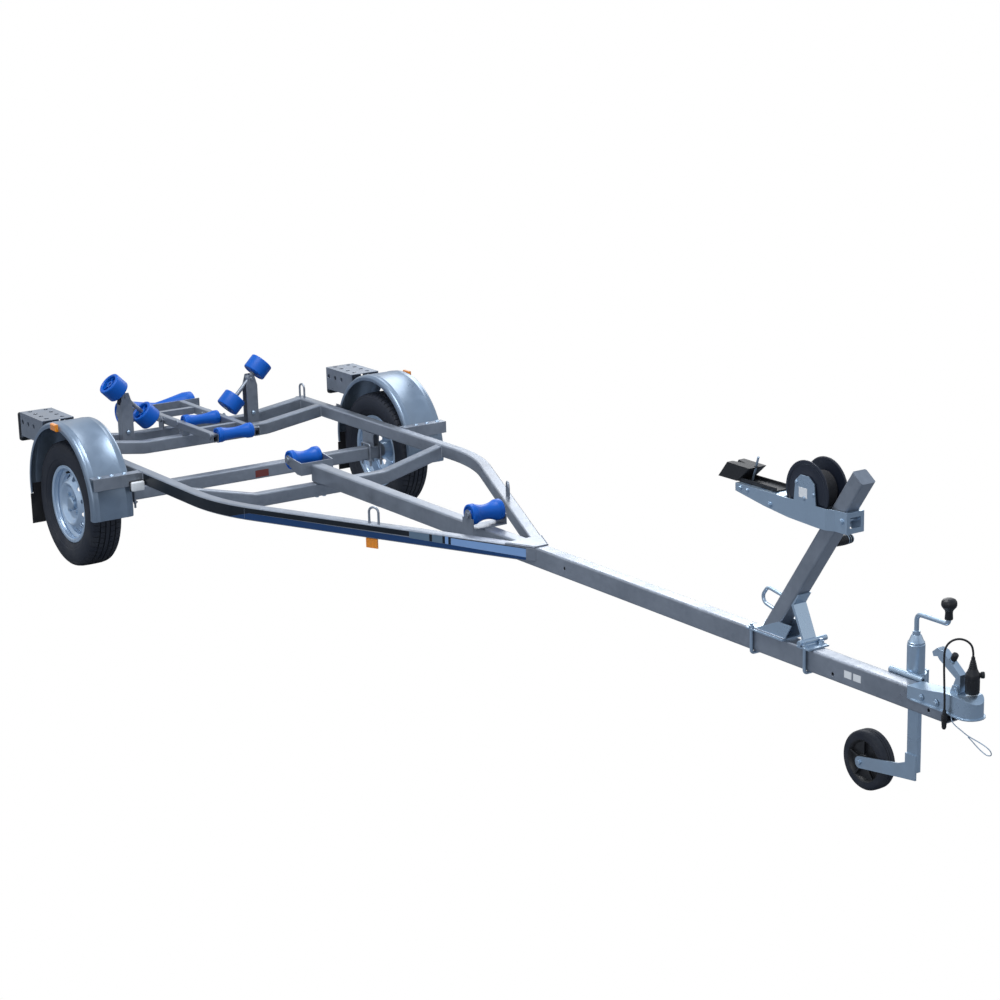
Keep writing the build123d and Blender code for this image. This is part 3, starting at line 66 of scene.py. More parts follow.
# rails and drawbar in millimetres: width, centre line, bend, end, bend radius, half width
RAIL_W = 50.0
RAIL_MID, RAIL_BEND, RAIL_JOIN, RAIL_RADIUS = 657.0, 1065.0, 2449.0, 900.0
BEAM_HALF = 30.0


def ahead(distance):
    """Y in metres of a place this many millimetres ahead of the axle."""
    return AXLE.y - distance * MM


def spot(x, distance, height):
    """Place in metres from millimetres to the left, ahead of the axle and up."""
    return x * MM, ahead(distance), height * MM


# ---------- properties
def length(name, words, value):
    return FloatProperty(name=name, description=words, default=value, min=0.0, unit="LENGTH")


def colour(name, words, value):
    return FloatVectorProperty(name=name, description=words, default=value, size=3,
                               subtype="COLOR", min=0.0, max=1.0)


class TrailerSizes(PropertyGroup):
    groove_depth: length("Groove depth", "Depth of the tyre's grooves", 0.0065)
    groove_width: length("Groove width", "Width of the tyre's grooves", 0.006)
    tread_pitches: IntProperty(name="Tread pitches", description="Blocks round a tyre",
                               default=62, min=8)
    decal_thickness: length("Decal thickness", "How far a decal stands off its rail", 0.0004)
    bead_radius: length("Weld bead radius", "Half the width of a weld bead", 0.0035)
    edge_radius: length("Edge radius", "Softening of sheared steel edges", 0.0012)


class TrailerColours(PropertyGroup):
    galvanised: colour("Galvanised", "Dipped zinc on frame and brackets", (0.27, 0.30, 0.35))
    zinc: colour("Zinc", "Bright plated steel", (0.40, 0.51, 0.63))
    mudguard: colour("Mudguard", "Rolled sheet of the mudguards", (0.20, 0.26, 0.34))
    wheel: colour("Wheel", "Silver paint of the rims", (0.46, 0.59, 0.75))
    tyre: colour("Tyre", "Road tyre", (0.011, 0.015, 0.026))
    roller: colour("Roller", "Blue rollers", (0.0, 0.088, 0.44))
    rubber: colour("Rubber", "Black rubber", (0.010, 0.011, 0.014))
    plastic: colour("Plastic", "Black moulded plastic", (0.009, 0.010, 0.013))
    decal_black: colour("Decal black", "Dark stripe on the rails", (0.006, 0.010, 0.016))
    decal_blue: colour("Decal blue", "Blue stripe on the rails", (0.010, 0.045, 0.14))
    decal_slate: colour("Decal slate", "Grey blocks between the stripes", (0.11, 0.17, 0.24))
    decal_pale: colour("Decal pale", "Pale blank panel on the rails", (0.20, 0.34, 0.60))
    amber: colour("Amber", "Amber lenses", (0.85, 0.27, 0.01))
    red: colour("Red", "Red lenses", (0.50, 0.01, 0.01))


def sizes():
    return bpy.context.scene.trailer_sizes


def colours():
    return bpy.context.scene.trailer_colours


# ---------- node groups
SKIN_OUTPUTS = (("Shade", "Float"), ("Rough", "Float"), ("Height", "Float"))


def group(name, inputs, outputs):
    """New shader group with float inputs (name, default) and typed outputs (name, type)."""
    tree = bpy.data.node_groups.new(name, "ShaderNodeTree")
    for label, default in inputs:
        socket = tree.interface.new_socket(label, in_out="INPUT", socket_type="NodeSocketFloat")
        socket.default_value = default
    for label, kind in outputs:
        tree.interface.new_socket(label, in_out="OUTPUT", socket_type="NodeSocket" + kind)
    return tree, tree.nodes.new("NodeGroupInput"), tree.nodes.new("NodeGroupOutput")


def add(tree, kind, values=(), **settings):
    """Node with its settings and the values of some inputs, by name or number."""
    node = tree.nodes.new("ShaderNode" + kind)
    for key, value in settings.items():
        setattr(node, key, value)
    for key, value in dict(values).items():
        node.inputs[key].default_value = value
    return node


def join(start, end):
    start.id_data.links.new(start, end)


def on_object(tree, kind, values=(), **settings):
    """Node that reads the object's own coordinates."""
    node = add(tree, kind, values, **settings)
    place = tree.nodes.get("Texture Coordinate") or add(tree, "TexCoord")
    join(place.outputs["Object"], node.inputs["Vector"])
    return node


def math_node(operation, first, second):
    """Math node on a socket and a socket or number; returns its output."""
    node = add(first.id_data, "Math", operation=operation)
    for socket, value in zip(node.inputs, (first, second)):
        if isinstance(value, (int, float)):
            socket.default_value = value
        else:
            join(value, socket)
    return node.outputs[0]


def plus(first, second):
    return math_node("ADD", first, second)


def times(first, second):
    return math_node("MULTIPLY", first, second)


def remap(value, low, high, to_low, to_high):
    node = add(value.id_data, "MapRange", {1: low, 2: high, 3: to_low, 4: to_high})
    join(value, node.inputs[0])
    return node.outputs[0]


def spangle_group():
    """Crystals of dipped zinc over slow clouds: a shade near 1, a roughness shift, a height."""
    tree, given, out = group("Spangle", (("Size", 60.0), ("Contrast", 0.1)), SKIN_OUTPUTS)
    cells = on_object(tree, "TexVoronoi", {"Randomness": 1.0}, feature="F1")
    clouds = on_object(tree, "TexNoise", {"Scale": 5.0, "Detail": 5.0, "Roughness": 0.6})
    fine = on_object(tree, "TexNoise", {"Scale": 420.0, "Detail": 3.0})
    join(given.outputs["Size"], cells.inputs["Scale"])
    flake = add(tree, "SeparateColor")
    join(cells.outputs["Color"], flake.inputs[0])
    cloud = remap(clouds.outputs["Fac"], 0.3, 0.7, -0.5, 0.5)
    crystal = math_node("SUBTRACT", flake.outputs[0], 0.5)
    swing = times(plus(times(crystal, 0.45), cloud), given.outputs["Contrast"])
    join(plus(swing, 1.0), out.inputs["Shade"])
    join(swing, out.inputs["Rough"])
    join(plus(times(flake.outputs[1], 0.3), fine.outputs["Fac"]), out.inputs["Height"])
    return tree


def rubbed_and_highlit_edge_group():
    """Mask of edges, broken up by noise: partly sheared or rubbed wear, partly a painted highlight along the
    edges.
    """
    tree, given, out = group("Edge wear", (("Radius", 0.0015), ("Amount", 0.5)),
                             (("Mask", "Float"), ("Normal", "Vector")))
    rounded = add(tree, "Bevel", samples=4)
    join(given.outputs["Radius"], rounded.inputs["Radius"])
    dot = add(tree, "VectorMath", operation="DOT_PRODUCT")
    join(rounded.outputs[0], dot.inputs[0])
    join(add(tree, "NewGeometry").outputs["Normal"], dot.inputs[1])
    # Where the bevelled normal turns from the face: the edges that get rubbed wear and a painted highlight.
    rim = remap(dot.outputs["Value"], 0.98, 0.80, 0.0, 1.0)
    noise = on_object(tree, "TexNoise", {"Scale": 45.0, "Detail": 4.0})
    broken = times(rim, remap(noise.outputs["Fac"], 0.35, 0.6, 0.2, 1.0))
    join(times(broken, given.outputs["Amount"]), out.inputs["Mask"])
    join(rounded.outputs[0], out.inputs["Normal"])
    return tree


def grain_group():
    """Fine moulded or cast skin: a shade near 1, a roughness shift and a height."""
    tree, given, out = group("Grain", (("Size", 300.0), ("Contrast", 0.08)), SKIN_OUTPUTS)
    fine = on_object(tree, "TexNoise", {"Detail": 4.0, "Roughness": 0.65})
    slow = on_object(tree, "TexNoise", {"Scale": 9.0, "Detail": 3.0})
    join(given.outputs["Size"], fine.inputs["Scale"])
    offset = math_node("SUBTRACT", slow.outputs["Fac"], 0.5)
    swing = times(offset, given.outputs["Contrast"])
    join(plus(times(swing, 2.0), 1.0), out.inputs["Shade"])
    join(swing, out.inputs["Rough"])
    join(fine.outputs["Fac"], out.inputs["Height"])
    return tree


def dust_group():
    """Pale dust that gathers towards the ground and in patches."""
    tree, given, out = group("Dust", (("Amount", 0.3), ("Reach", 0.5)), (("Mask", "Float"),))
    split = on_object(tree, "SeparateXYZ")
    fall = math_node("DIVIDE", split.outputs["Z"], given.outputs["Reach"])
    noise = on_object(tree, "TexNoise", {"Scale": 14.0, "Detail": 6.0})
    low = remap(fall, 0.0, 1.0, 1.0, 0.0)
    patch = remap(noise.outputs["Fac"], 0.4, 0.65, 0.0, 1.0)
    join(times(times(low, patch), given.outputs["Amount"]), out.inputs["Mask"])
    return tree


# The edge group's mask stands for rubbed wear and a painted highlight on the edges.
GROUP_MAKERS = {"Spangle": spangle_group, "Edge wear": rubbed_and_highlit_edge_group, "Grain": grain_group,
                "Dust": dust_group}


def effect(tree, name, **values):
    """One of the shared groups placed in a material."""
    shared = bpy.data.node_groups.get(name) or GROUP_MAKERS[name]()
    node = tree.nodes.new("ShaderNodeGroup")
    node.node_tree = shared
    for key, value in values.items():
        node.inputs[key].default_value = value
    return node


# ---------- materials
def blank_material(name, values):
    """Material with its tree and its Principled shader, some of whose inputs are given."""
    material = bpy.data.materials.new(name)
    material.use_nodes = True
    shader = material.node_tree.nodes["Principled BSDF"]
    for key, value in values.items():
        shader.inputs[key].default_value = value
    return material, material.node_tree, shader


def tinted(value, shade):
    """A plain colour times a shade socket; returns a colour socket."""
    node = add(shade.id_data, "Mix", data_type="RGBA", blend_type="MULTIPLY")
    node.inputs["Factor"].default_value = 1.0
    node.inputs["A"].default_value = (*value, 1.0)
    join(shade, node.inputs["B"])
    return node.outputs["Result"]


def over(below, value, mask):
    """A plain colour laid over a colour socket where the mask says."""
    node = add(below.id_data, "Mix", data_type="RGBA")
    join(mask, node.inputs["Factor"])
    join(below, node.inputs["A"])
    node.inputs["B"].default_value = (*value, 1.0)
    return node.outputs["Result"]


def bump(height, strength, distance, normal=None):
    node = add(height.id_data, "Bump", {"Strength": strength, "Distance": distance})
    join(height, node.inputs["Height"])
    if normal is not None:
        join(normal, node.inputs["Normal"])
    return node.outputs[0]


SKIN_DEPTH = 0.0004                     # metres that a skin's bump stands for
STEEL_SOIL, BLACK_SOIL = (0.30, 0.28, 0.25), (0.20, 0.19, 0.17)


def coated(name, base, rough, skin, rubbed_and_highlit_tone, soil, edge, relief, values):
    """Surface with a skin, lighter edges of another colour (rubbed wear and a painted highlight), and dust low
    down.

    skin: its group, size and contrast; soil: its colour, amount and reach; edge: strength of the lighter edges,
    wear and painted highlight; values: plain inputs.
    """
    material, tree, shader = blank_material(name, values)
    coat = effect(tree, skin[0], Size=skin[1], Contrast=skin[2])
    wear_and_highlight = effect(tree, "Edge wear", Radius=sizes().edge_radius, Amount=edge)
    dust = effect(tree, "Dust", Amount=soil[1], Reach=soil[2])
    # Lighter colour on the edges: rubbed wear and a painted highlight.
    shade = over(tinted(base, coat.outputs["Shade"]), rubbed_and_highlit_tone, wear_and_highlight.outputs["Mask"])
    join(over(shade, soil[0], dust.outputs["Mask"]), shader.inputs["Base Color"])
    join(plus(coat.outputs["Rough"], rough), shader.inputs["Roughness"])
    join(bump(coat.outputs["Height"], relief, SKIN_DEPTH, wear_and_highlight.outputs["Normal"]),
         shader.inputs["Normal"])
    return material


def metal(name, base, rough, metallic, size, contrast, edge=0.5, dust=0.15, relief=0.10):
    """Zinc-coated steel: spangle, bright edges of rubbed zinc and painted highlight, a little dust."""
    # Lighter edge colour: rubbed zinc and a painted highlight.
    rubbed_and_highlit_tone = tuple(min(1.0, c * 1.6) for c in base)
    return coated(name, base, rough, ("Spangle", size, contrast), rubbed_and_highlit_tone, (STEEL_SOIL, dust, 0.5),
                  edge, relief, {"Metallic": metallic})


def moulded(name, base, rough, size, contrast, height=0.15, edge=0.0, coat=0.0, dust=0.1,
            shine=0.5):
    """Plastic, rubber or paint: fine grain, slow shade changes, dust."""
    # Lighter edge colour: rubbed wear and a painted highlight.
    rubbed_and_highlit_tone = tuple(min(1.0, c * 1.8 + 0.02) for c in base)
    return coated(name, base, rough, ("Grain", size, contrast), rubbed_and_highlit_tone, (BLACK_SOIL, dust, 0.6),
                  edge, height, {"Coat Weight": coat, "Specular IOR Level": shine})


def decal(name, base, rough=0.34, contrast=0.05):
    """Printed film."""
    return moulded(name, base, rough, 600.0, contrast, 0.03, shine=0.25)


def lens(name, base):
    """Lamp lens with small prisms."""
    material, tree, shader = blank_material(name, {"Roughness": 0.16, "Coat Weight": 0.6})
    prisms = on_object(tree, "TexVoronoi", {"Scale": 150.0, "Randomness": 0.0},
                       distance="CHEBYCHEV")
    shade = remap(prisms.outputs["Distance"], 0.0, 0.6, 1.15, 0.75)
    join(tinted(base, shade), shader.inputs["Base Color"])
    join(bump(prisms.outputs["Distance"], 0.35, 0.001), shader.inputs["Normal"])
    return material


def webbing(name, base):
    """Woven strap: two crossed waves."""
    material, tree, shader = blank_material(name, {"Roughness": 0.85})
    warp = on_object(tree, "TexWave", {"Scale": 160.0}, bands_direction="X")
    weft = on_object(tree, "TexWave", {"Scale": 220.0}, bands_direction="DIAGONAL")
    weave = times(warp.outputs["Fac"], weft.outputs["Fac"])
    join(tinted(base, remap(weave, 0.0, 1.0, 0.6, 1.5)), shader.inputs["Base Color"])
    join(bump(weave, 0.6, 0.0006), shader.inputs["Normal"])
    return material


# maker, a colour or the name of a colour setting, and the maker's other values
FINISHES = {
    "Galvanised": (metal, "galvanised", 0.40, 0.72, 55.0, 0.20),
    "Zinc": (metal, "zinc", 0.30, 0.80, 120.0, 0.06, 0.35, 0.15, 0.03),
    "Mudguard sheet": (metal, "mudguard", 0.34, 0.60, 26.0, 0.12, 0.5, 0.1),
    "Wheel paint": (metal, "wheel", 0.30, 0.55, 260.0, 0.05, 0.3, 0.2, 0.02),
    "Tyre": (moulded, "tyre", 0.66, 260.0, 0.14, 0.25, 0.25, 0.0, 0.10, 0.4),
    "Roller": (moulded, "roller", 0.42, 240.0, 0.10, 0.10, 0.15, 0.0, 0.0, 0.3),
    "Rubber": (moulded, "rubber", 0.60, 300.0, 0.12, 0.25, 0.3, 0.0, 0.1, 0.4),
    "Black plastic": (moulded, "plastic", 0.42, 420.0, 0.08, 0.2, 0.3, 0.0, 0.1, 0.4),
    "Black paint": (moulded, (0.010, 0.014, 0.026), 0.32, 300.0, 0.10, 0.1, 0.6),
    "Decal black": (decal, "decal_black"),
    "Decal blue": (decal, "decal_blue"),
    "Decal pale": (decal, "decal_pale"),
    "Decal slate": (decal, "decal_slate", 0.36, 0.08),
    "Blank label": (moulded, (0.72, 0.74, 0.76), 0.4, 600.0, 0.04, 0.03),
    "Red mark": (moulded, (0.16, 0.025, 0.02), 0.5, 500.0, 0.2, 0.1),
    "Amber lens": (lens, "amber"),
    "Red lens": (lens, "red"),
    "Clear lens": (lens, (0.80, 0.83, 0.85)),
    "Winch webbing": (webbing, (0.030, 0.030, 0.034)),
}


def material(name):
    """The material of that name, made on first use."""
    found = bpy.data.materials.get(name)
    if found:
        return found
    maker, base, *values = FINISHES[name]
    if isinstance(base, str):
        base = getattr(colours(), base)
    return maker(name, base, *values)


FINISH_OF_SLOT = {
    "galvanised": "Galvanised", "zinc": "Zinc", "grey_plastic": "Mudguard sheet",
    "silver_paint": "Wheel paint", "tyre": "Tyre", "blue_plastic": "Roller",
    "black_rubber": "Rubber", "black_plastic": "Black plastic", "black_paint": "Black paint",
    "webbing": "Winch webbing", "jockey_black": "Tyre", "lamp_red": "Red lens",
    "lamp_clear": "Clear lens", "lamp_amber": "Amber lens",
}


# ---------- mesh helpers
SAME_PLACE = 1e-6                       # metres within which vertices are one
PIECE_SPLIT, NODE_SPLIT = 32.0, 28.0    # degrees past which an edge stays sharp


def new_object(name, data):
    obj = bpy.data.objects.new(name, data)
    bpy.context.scene.collection.objects.link(obj)
    return obj


def fitted(name, data, body, slot, nodes, finish=None):
    """Object on a body, with its slot's finish or another; it may stand for CAD nodes."""
    obj = new_object(name, data)
    data.materials.append(material(finish or FINISH_OF_SLOT[slot]))
    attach(obj, body)
    if nodes:
        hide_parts(*nodes)
    return obj


def piece(name, bm, body, slot, *nodes, finish=None):
    """Smooth object from a finished bmesh."""
    bmesh.ops.remove_doubles(bm, verts=bm.verts, dist=SAME_PLACE)
    bmesh.ops.recalc_face_normals(bm, faces=bm.faces)
    mesh = bpy.data.meshes.new(name)
    bm.to_mesh(mesh)
    bm.free()
    smooth(fitted(name, mesh, body, slot, nodes, finish), PIECE_SPLIT)


def smooth(obj, degrees):
    """Smooth faces, split where they turn by more than an angle."""
    obj.data.polygons.foreach_set("use_smooth", [True] * len(obj.data.polygons))
    split = obj.modifiers.new("Sharp edges", "EDGE_SPLIT")
    split.split_angle = math.radians(degrees)
    split.use_edge_sharp = False


def extent(node):
    """A node's middle, half its width and half its height."""
    low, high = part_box(node)
    return (low + high) / 2, (high.x - low.x) / 2, (high.z - low.z) / 2


def chain(bm, points):
    """Open row of vertices and edges in the XZ plane: (x, radius) pairs."""
    verts = [bm.verts.new((x, 0.0, r)) for x, r in points]
    edges = [bm.edges.new(pair) for pair in zip(verts, verts[1:])]
    return verts + edges


def turned(points, segments, closed=True):
    """Bmesh of a profile of (x, radius) pairs spun about the X axis."""
    bm = bmesh.new()
    geom = chain(bm, list(points) + ([points[0]] if closed else []))
    bmesh.ops.spin(bm, geom=geom, cent=(0, 0, 0), axis=(1, 0, 0), angle=math.tau,
                   steps=segments, use_merge=True)
    bmesh.ops.remove_doubles(bm, verts=bm.verts, dist=SAME_PLACE)
    return bm


def mirrored(side):
    """Outline of (x, radius) pairs, carried on to its mirror image across x = 0."""
    middle = 1 if side[-1][0] == 0 else 0
    return side + [(-x, r) for x, r in reversed(side[:len(side) - middle])]


def flipped(points, way):
    """The same outline, towards +x or -x."""
    return [(way * x, r) for x, r in points]


def inset(half, radius, steps):
    """Points measured inwards from an outer corner (half, radius)."""
    return [(half - x, radius - r) for x, r in steps]


def arc_points(centre, radius, start, end, count):
    """Points on an arc, angles in degrees from +x towards +radius."""
    turns = [math.radians(start + (end - start) * k / count) for k in range(count + 1)]
    return [(centre[0] + radius * math.cos(t), centre[1] + radius * math.sin(t)) for t in turns]


def place(bm, matrix):
    bmesh.ops.transform(bm, matrix=matrix, verts=bm.verts)
    return bm


def shift(bm, offset):
    return place(bm, Matrix.Translation(offset))


def merge(bm, other):
    """Adds another bmesh to this one."""
    carrier = bpy.data.meshes.new("carrier")
    other.to_mesh(carrier)
    other.free()
    bm.from_mesh(carrier)
    bpy.data.meshes.remove(carrier)


def facing(line, axis, up):
    """Rotation that turns an axis to a line."""
    return Vector(line).to_track_quat(axis, up).to_matrix().to_4x4()


def lay_along(bm, start, line):
    """Turns a piece made along X so that it starts at a point and runs along a line."""
    return place(bm, Matrix.Translation(start) @ facing(line, "X", "Z"))


def upright(bm, foot):
    """Turns a piece made along X so that it stands on a point."""
    return place(bm, Matrix.Translation(foot) @ Matrix.Rotation(-math.pi / 2, 4, "Y"))


def hex_bolt(point, direction, radius, height):
    """Hexagon head with a chamfered top, on a washer, standing along a direction."""
    bm = bmesh.new()
    bmesh.ops.create_cone(bm, cap_ends=True, segments=6, radius1=radius, radius2=radius,
                          depth=height, matrix=Matrix.Translation((0, 0, height / 2)))
    top = [e for e in bm.edges if all(v.co.z > height * 0.9 for v in e.verts)]
    bmesh.ops.bevel(bm, geom=top, offset=radius * 0.14, segments=1, affect="EDGES", profile=0.5,
                    material=-1)
    bmesh.ops.create_cone(bm, cap_ends=True, segments=20, radius1=radius * 1.35,
                          radius2=radius * 1.3, depth=radius * 0.22,
                          matrix=Matrix.Translation((0, 0, radius * 0.11)))
    return place(bm, Matrix.Translation(point) @ facing(direction, "Z", "Y"))


def slab(low, high, edge=0.0, segments=2):
    """Box between two corners with rounded edges."""
    low, high = Vector(low), Vector(high)
    bm = bmesh.new()
    scale = Matrix.Diagonal((*(high - low), 1.0))
    bmesh.ops.create_cube(bm, size=1.0, matrix=Matrix.Translation((low + high) / 2) @ scale)
    if edge:
        bmesh.ops.bevel(bm, geom=bm.edges, offset=edge, segments=segments, affect="EDGES",
                        profile=0.5, material=-1)
    return bm


def ribs(bm, count, low, high, *rounding):
    """Adds a bar between two corners, repeated round the X axis."""
    for k in range(count):
        turn = Matrix.Rotation(math.tau * k / count, 4, "X")
        merge(bm, place(slab(low, high, *rounding), turn))


# ---------- stage
CAMERA_AHEAD, CAMERA_X, CAMERA_Z = 9780.7, -5041.9, 2987.3
CAMERA_YAW, CAMERA_PITCH, CAMERA_ROLL = 36.35, 14.86, 0.72      # degrees
CAMERA_LENS = 84.78                                             # mm on a 36 mm sensor
CAMERA_SHIFT = (-0.1054, 0.0074)
# name, place, aim, size, watts
LAMPS = (("Key", (-1.5, 0.5, 7.0), (0.0, 0.0, 0.3), 4.0, 430.0),
         ("Fill", (-6.5, -6.0, 2.8), (0.0, -0.5, 0.5), 4.0, 70.0),
         ("Back", (4.5, 4.5, 4.0), (0.0, 0.0, 0.4), 4.0, 160.0))
WHITE = (1.0, 1.0, 1.0, 1.0)
FLOOR_TONE, FLOOR_SIZE, SKY_STRENGTH = (0.19, 0.21, 0.24, 1.0), 150.0, 0.95
# sine of the height above the horizon, and the light from there
SKY = ((0.0, (0.14, 0.18, 0.25, 1.0)), (0.20, WHITE), (0.42, (0.80, 0.86, 0.94, 1.0)),
       (1.0, (0.36, 0.46, 0.60, 1.0)))


def blend_shaders(factor, first, second, output):
    """Mixes two shaders by a socket, into an output node's surface."""
    tree = factor.id_data
    blend = add(tree, "MixShader")
    for socket, source in zip(blend.inputs, (factor, first, second)):
        join(source, socket)
    join(blend.outputs[0], tree.nodes[output].inputs["Surface"])


def set_camera(scene):
    yaw, pitch, roll = (math.radians(a) for a in (CAMERA_YAW, CAMERA_PITCH, CAMERA_ROLL))
    forward = Vector((math.sin(yaw) * math.cos(pitch), math.cos(yaw) * math.cos(pitch),
                      -math.sin(pitch)))
    right = Vector((math.cos(yaw), -math.sin(yaw), 0.0))
    down = forward.cross(right)
    across = right * math.cos(roll) + down * math.sin(roll)
    upward = right * math.sin(roll) - down * math.cos(roll)
    turn = Matrix((across, upward, -forward)).transposed().to_4x4()
    data = bpy.data.cameras.new("Camera")
    data.lens, data.sensor_width = CAMERA_LENS, 36.0
    data.shift_x, data.shift_y = CAMERA_SHIFT
    data.clip_end = 500.0
    camera = new_object("Camera", data)
    eye = Vector(spot(CAMERA_X, CAMERA_AHEAD, CAMERA_Z))
    camera.matrix_world = Matrix.Translation(eye) @ turn
    scene.camera = camera


def set_lamps():
    for name, stand, aim, size, watts in LAMPS:
        data = bpy.data.lights.new(name, "AREA")
        data.shape, data.size, data.energy = "DISK", size, watts
        turn = facing(Vector(aim) - Vector(stand), "-Z", "Y")
        new_object(name, data).matrix_world = Matrix.Translation(stand) @ turn


def set_floor():
    bm = bmesh.new()
    bmesh.ops.create_grid(bm, x_segments=1, y_segments=1, size=FLOOR_SIZE)
    mesh = bpy.data.meshes.new("Floor")
    bm.to_mesh(mesh)
    bm.free()
    floor = new_object("Floor", mesh)
    surface, tree, shader = blank_material("Pale floor", {"Base Color": FLOOR_TONE,
                                                          "Roughness": 0.9})
    glow = add(tree, "Emission", {"Color": WHITE, "Strength": 1.0})
    blend_shaders(add(tree, "LightPath").outputs["Is Camera Ray"], shader.outputs[0],
                  glow.outputs[0], "Material Output")
    mesh.materials.append(surface)


def set_sky(scene):
    world = bpy.data.worlds.new("Surroundings")
    scene.world = world
    world.use_nodes = True
    tree = world.node_tree
    light = tree.nodes["Background"]
    light.inputs["Strength"].default_value = SKY_STRENGTH
    split = add(tree, "SeparateXYZ")
    join(add(tree, "TexCoord").outputs["Generated"], split.inputs[0])
    sky = add(tree, "ValToRGB")
    ramp = sky.color_ramp.elements
    ramp[0].position, ramp[0].color = SKY[0]
    ramp[1].position, ramp[1].color = SKY[-1]
    for place_on_ramp, tone in SKY[1:-1]:
        ramp.new(place_on_ramp).color = tone
    join(split.outputs["Z"], sky.inputs["Fac"])
    join(sky.outputs["Color"], light.inputs["Color"])
    white = add(tree, "Background", {"Color": WHITE, "Strength": 1.0})
    path = add(tree, "LightPath")
    seen = math_node("MAXIMUM", path.outputs["Is Camera Ray"],
                     path.outputs["Is Transmission Ray"])
    blend_shaders(seen, light.outputs[0], white.outputs[0], "World Output")


class TRAILER_OT_stage(Operator):
    """Makes the camera, the lamps, the floor and the white surroundings"""
    bl_idname = "trailer.stage"
    bl_label = "Stage"

    def execute(self, context):
        set_camera(context.scene)
        set_lamps()
        set_floor()
        set_sky(context.scene)
        context.scene.view_settings.view_transform = "Standard"
        return {"FINISHED"}


# ---------- cords
GLAND = (-51.0, 4782.0)                 # x, ahead
PLUG = (10.0, 4841.0, 520.0)            # x, ahead, height of its open end
CABLE_SIDE = ((0, 462), (0, 494), (-2, 540), (-4, 590), (-5, 632), (-3, 667.5), (14, 690.7),
              (40, 699.2), (66, 690.7), (82, 668.6), (82, 640))
WIRE_LEAD = ((-41, 4802, 445.6), (-41, 4803, 436), (-41, 4810, 425), (-40.5, 4823, 417.5),
             (-38.5, 4845, 409))
WIRE_NECK = (-36.0, 4868.0, 399.0)
WIRE_LOOP = ((0, 0), (20, -6), (40, -15), (60, -21), (81.2, -22), (92.7, -13.6), (97.1, 0),
             (92.7, 13.6), (81.2, 22), (60, 21), (40, 15), (20, 7), (6, 4.2))
LOOP_U, LOOP_V = (0.379, 0.738, -0.558), (0.331, -0.672, -0.664)
CABLE_LENGTH, CABLE_D = 0.343, 0.007
WIRE_LENGTH, WIRE_D = 0.303, 0.0036


def cable_points():
    dx, dy = PLUG[0] - GLAND[0], PLUG[1] - GLAND[1]
    span = CABLE_SIDE[-1][0]
    return [spot(GLAND[0] + dx * s / span, GLAND[1] + dy * s / span, z) for s, z in CABLE_SIDE]


def wire_points():
    loop = [[n + u * du + v * dv for n, du, dv in zip(WIRE_NECK, LOOP_U, LOOP_V)]
            for u, v in WIRE_LOOP]
    return [spot(*point) for point in (*WIRE_LEAD, *loop)]


def nurbs(name, points, diameter, slot, node):
    """Cord as one open spline through its control points."""
    curve = bpy.data.curves.new(name, "CURVE")
    curve.dimensions = "3D"
    curve.bevel_depth = diameter / 2
    curve.bevel_resolution = 5
    curve.resolution_u = 8
    curve.use_fill_caps = True
    spline = curve.splines.new("NURBS")
    spline.points.add(len(points) - 1)
    for point, co in zip(spline.points, points):
        point.co = (*co, 1.0)
    spline.order_u = 3
    spline.use_endpoint_u = True
    return fitted(name, curve, "chassis", slot, [node])


class TRAILER_OT_cords(Operator):
    """Lays the trailer cable and the breakaway wire"""
    bl_idname = "trailer.cords"
    bl_label = "Cords"

    def execute(self, context):
        route = cable_points()
        cable = nurbs("Trailer_cable", route, CABLE_D, "black_rubber", "cable")
        route = wire_points()
        wire = nurbs("Breakaway_wire", route, WIRE_D, "zinc", "breakaway_wire")
        return {"FINISHED"}


# ---------- finishes of the CAD nodes
BRIGHT_NODES = ("winch_post_base", "winch_carriage")      # freshly plated brackets
NODE_MERGE = 2e-5                       # metres, to join a node's triangles


class TRAILER_OT_finishes(Operator):
    """Gives every node of the frame its finish and smooth shading"""
    bl_idname = "trailer.finishes"
    bl_label = "Finishes"

    def execute(self, context):
        slots = {s["node"]: s["material_slot"] for s in frame["record"]["subparts"]}
        for name, node in NODES.items():
            node.data.materials.clear()
            finish = "Zinc" if name in BRIGHT_NODES else FINISH_OF_SLOT[slots[name]]
            node.data.materials.append(material(finish))
            weld = node.modifiers.new("Joined triangles", "WELD")
            weld.merge_threshold = NODE_MERGE
            smooth(node, NODE_SPLIT)
        return {"FINISHED"}


# ---------- tyres
GROOVES = (0.0400, 0.0140)              # outer edges of the two grooves each side
SLOT_DEPTH = 0.0045                     # of the shoulder slots and sipes
SHOULDER_FROM, SIPE_FROM, SIPE_TO = 0.0405, 0.015, 0.034      # distance from mid tread
PITCH_MERGE = 1e-5                      # metres, where one pitch meets the next


def half_tyre(radius, half, depth, width):
    """Outline of half a tyre, bead to mid tread: (across, radius), and its groove rows."""
    outline = inset(half, radius, (
        (0.0235, 0.1090), (0.0180, 0.1075), (0.0120, 0.0990), (0.0060, 0.0860), (0.0058, 0.0830),
        (0.0030, 0.0800), (0.0004, 0.0640), (0.0, 0.0500), (0.0010, 0.0360), (0.0040, 0.0240),
        (0.0048, 0.0225), (0.0040, 0.0210), (0.0085, 0.0125), (0.0140, 0.0070),
        (0.0200, 0.0042)))
    for edge in GROOVES:
        crown = radius - 0.0032 * (edge / half) ** 2
        outline += [(edge, crown), (edge - 0.0012, crown - depth),
                    (edge - width + 0.0012, crown - depth), (edge - width, crown)]
    return outline


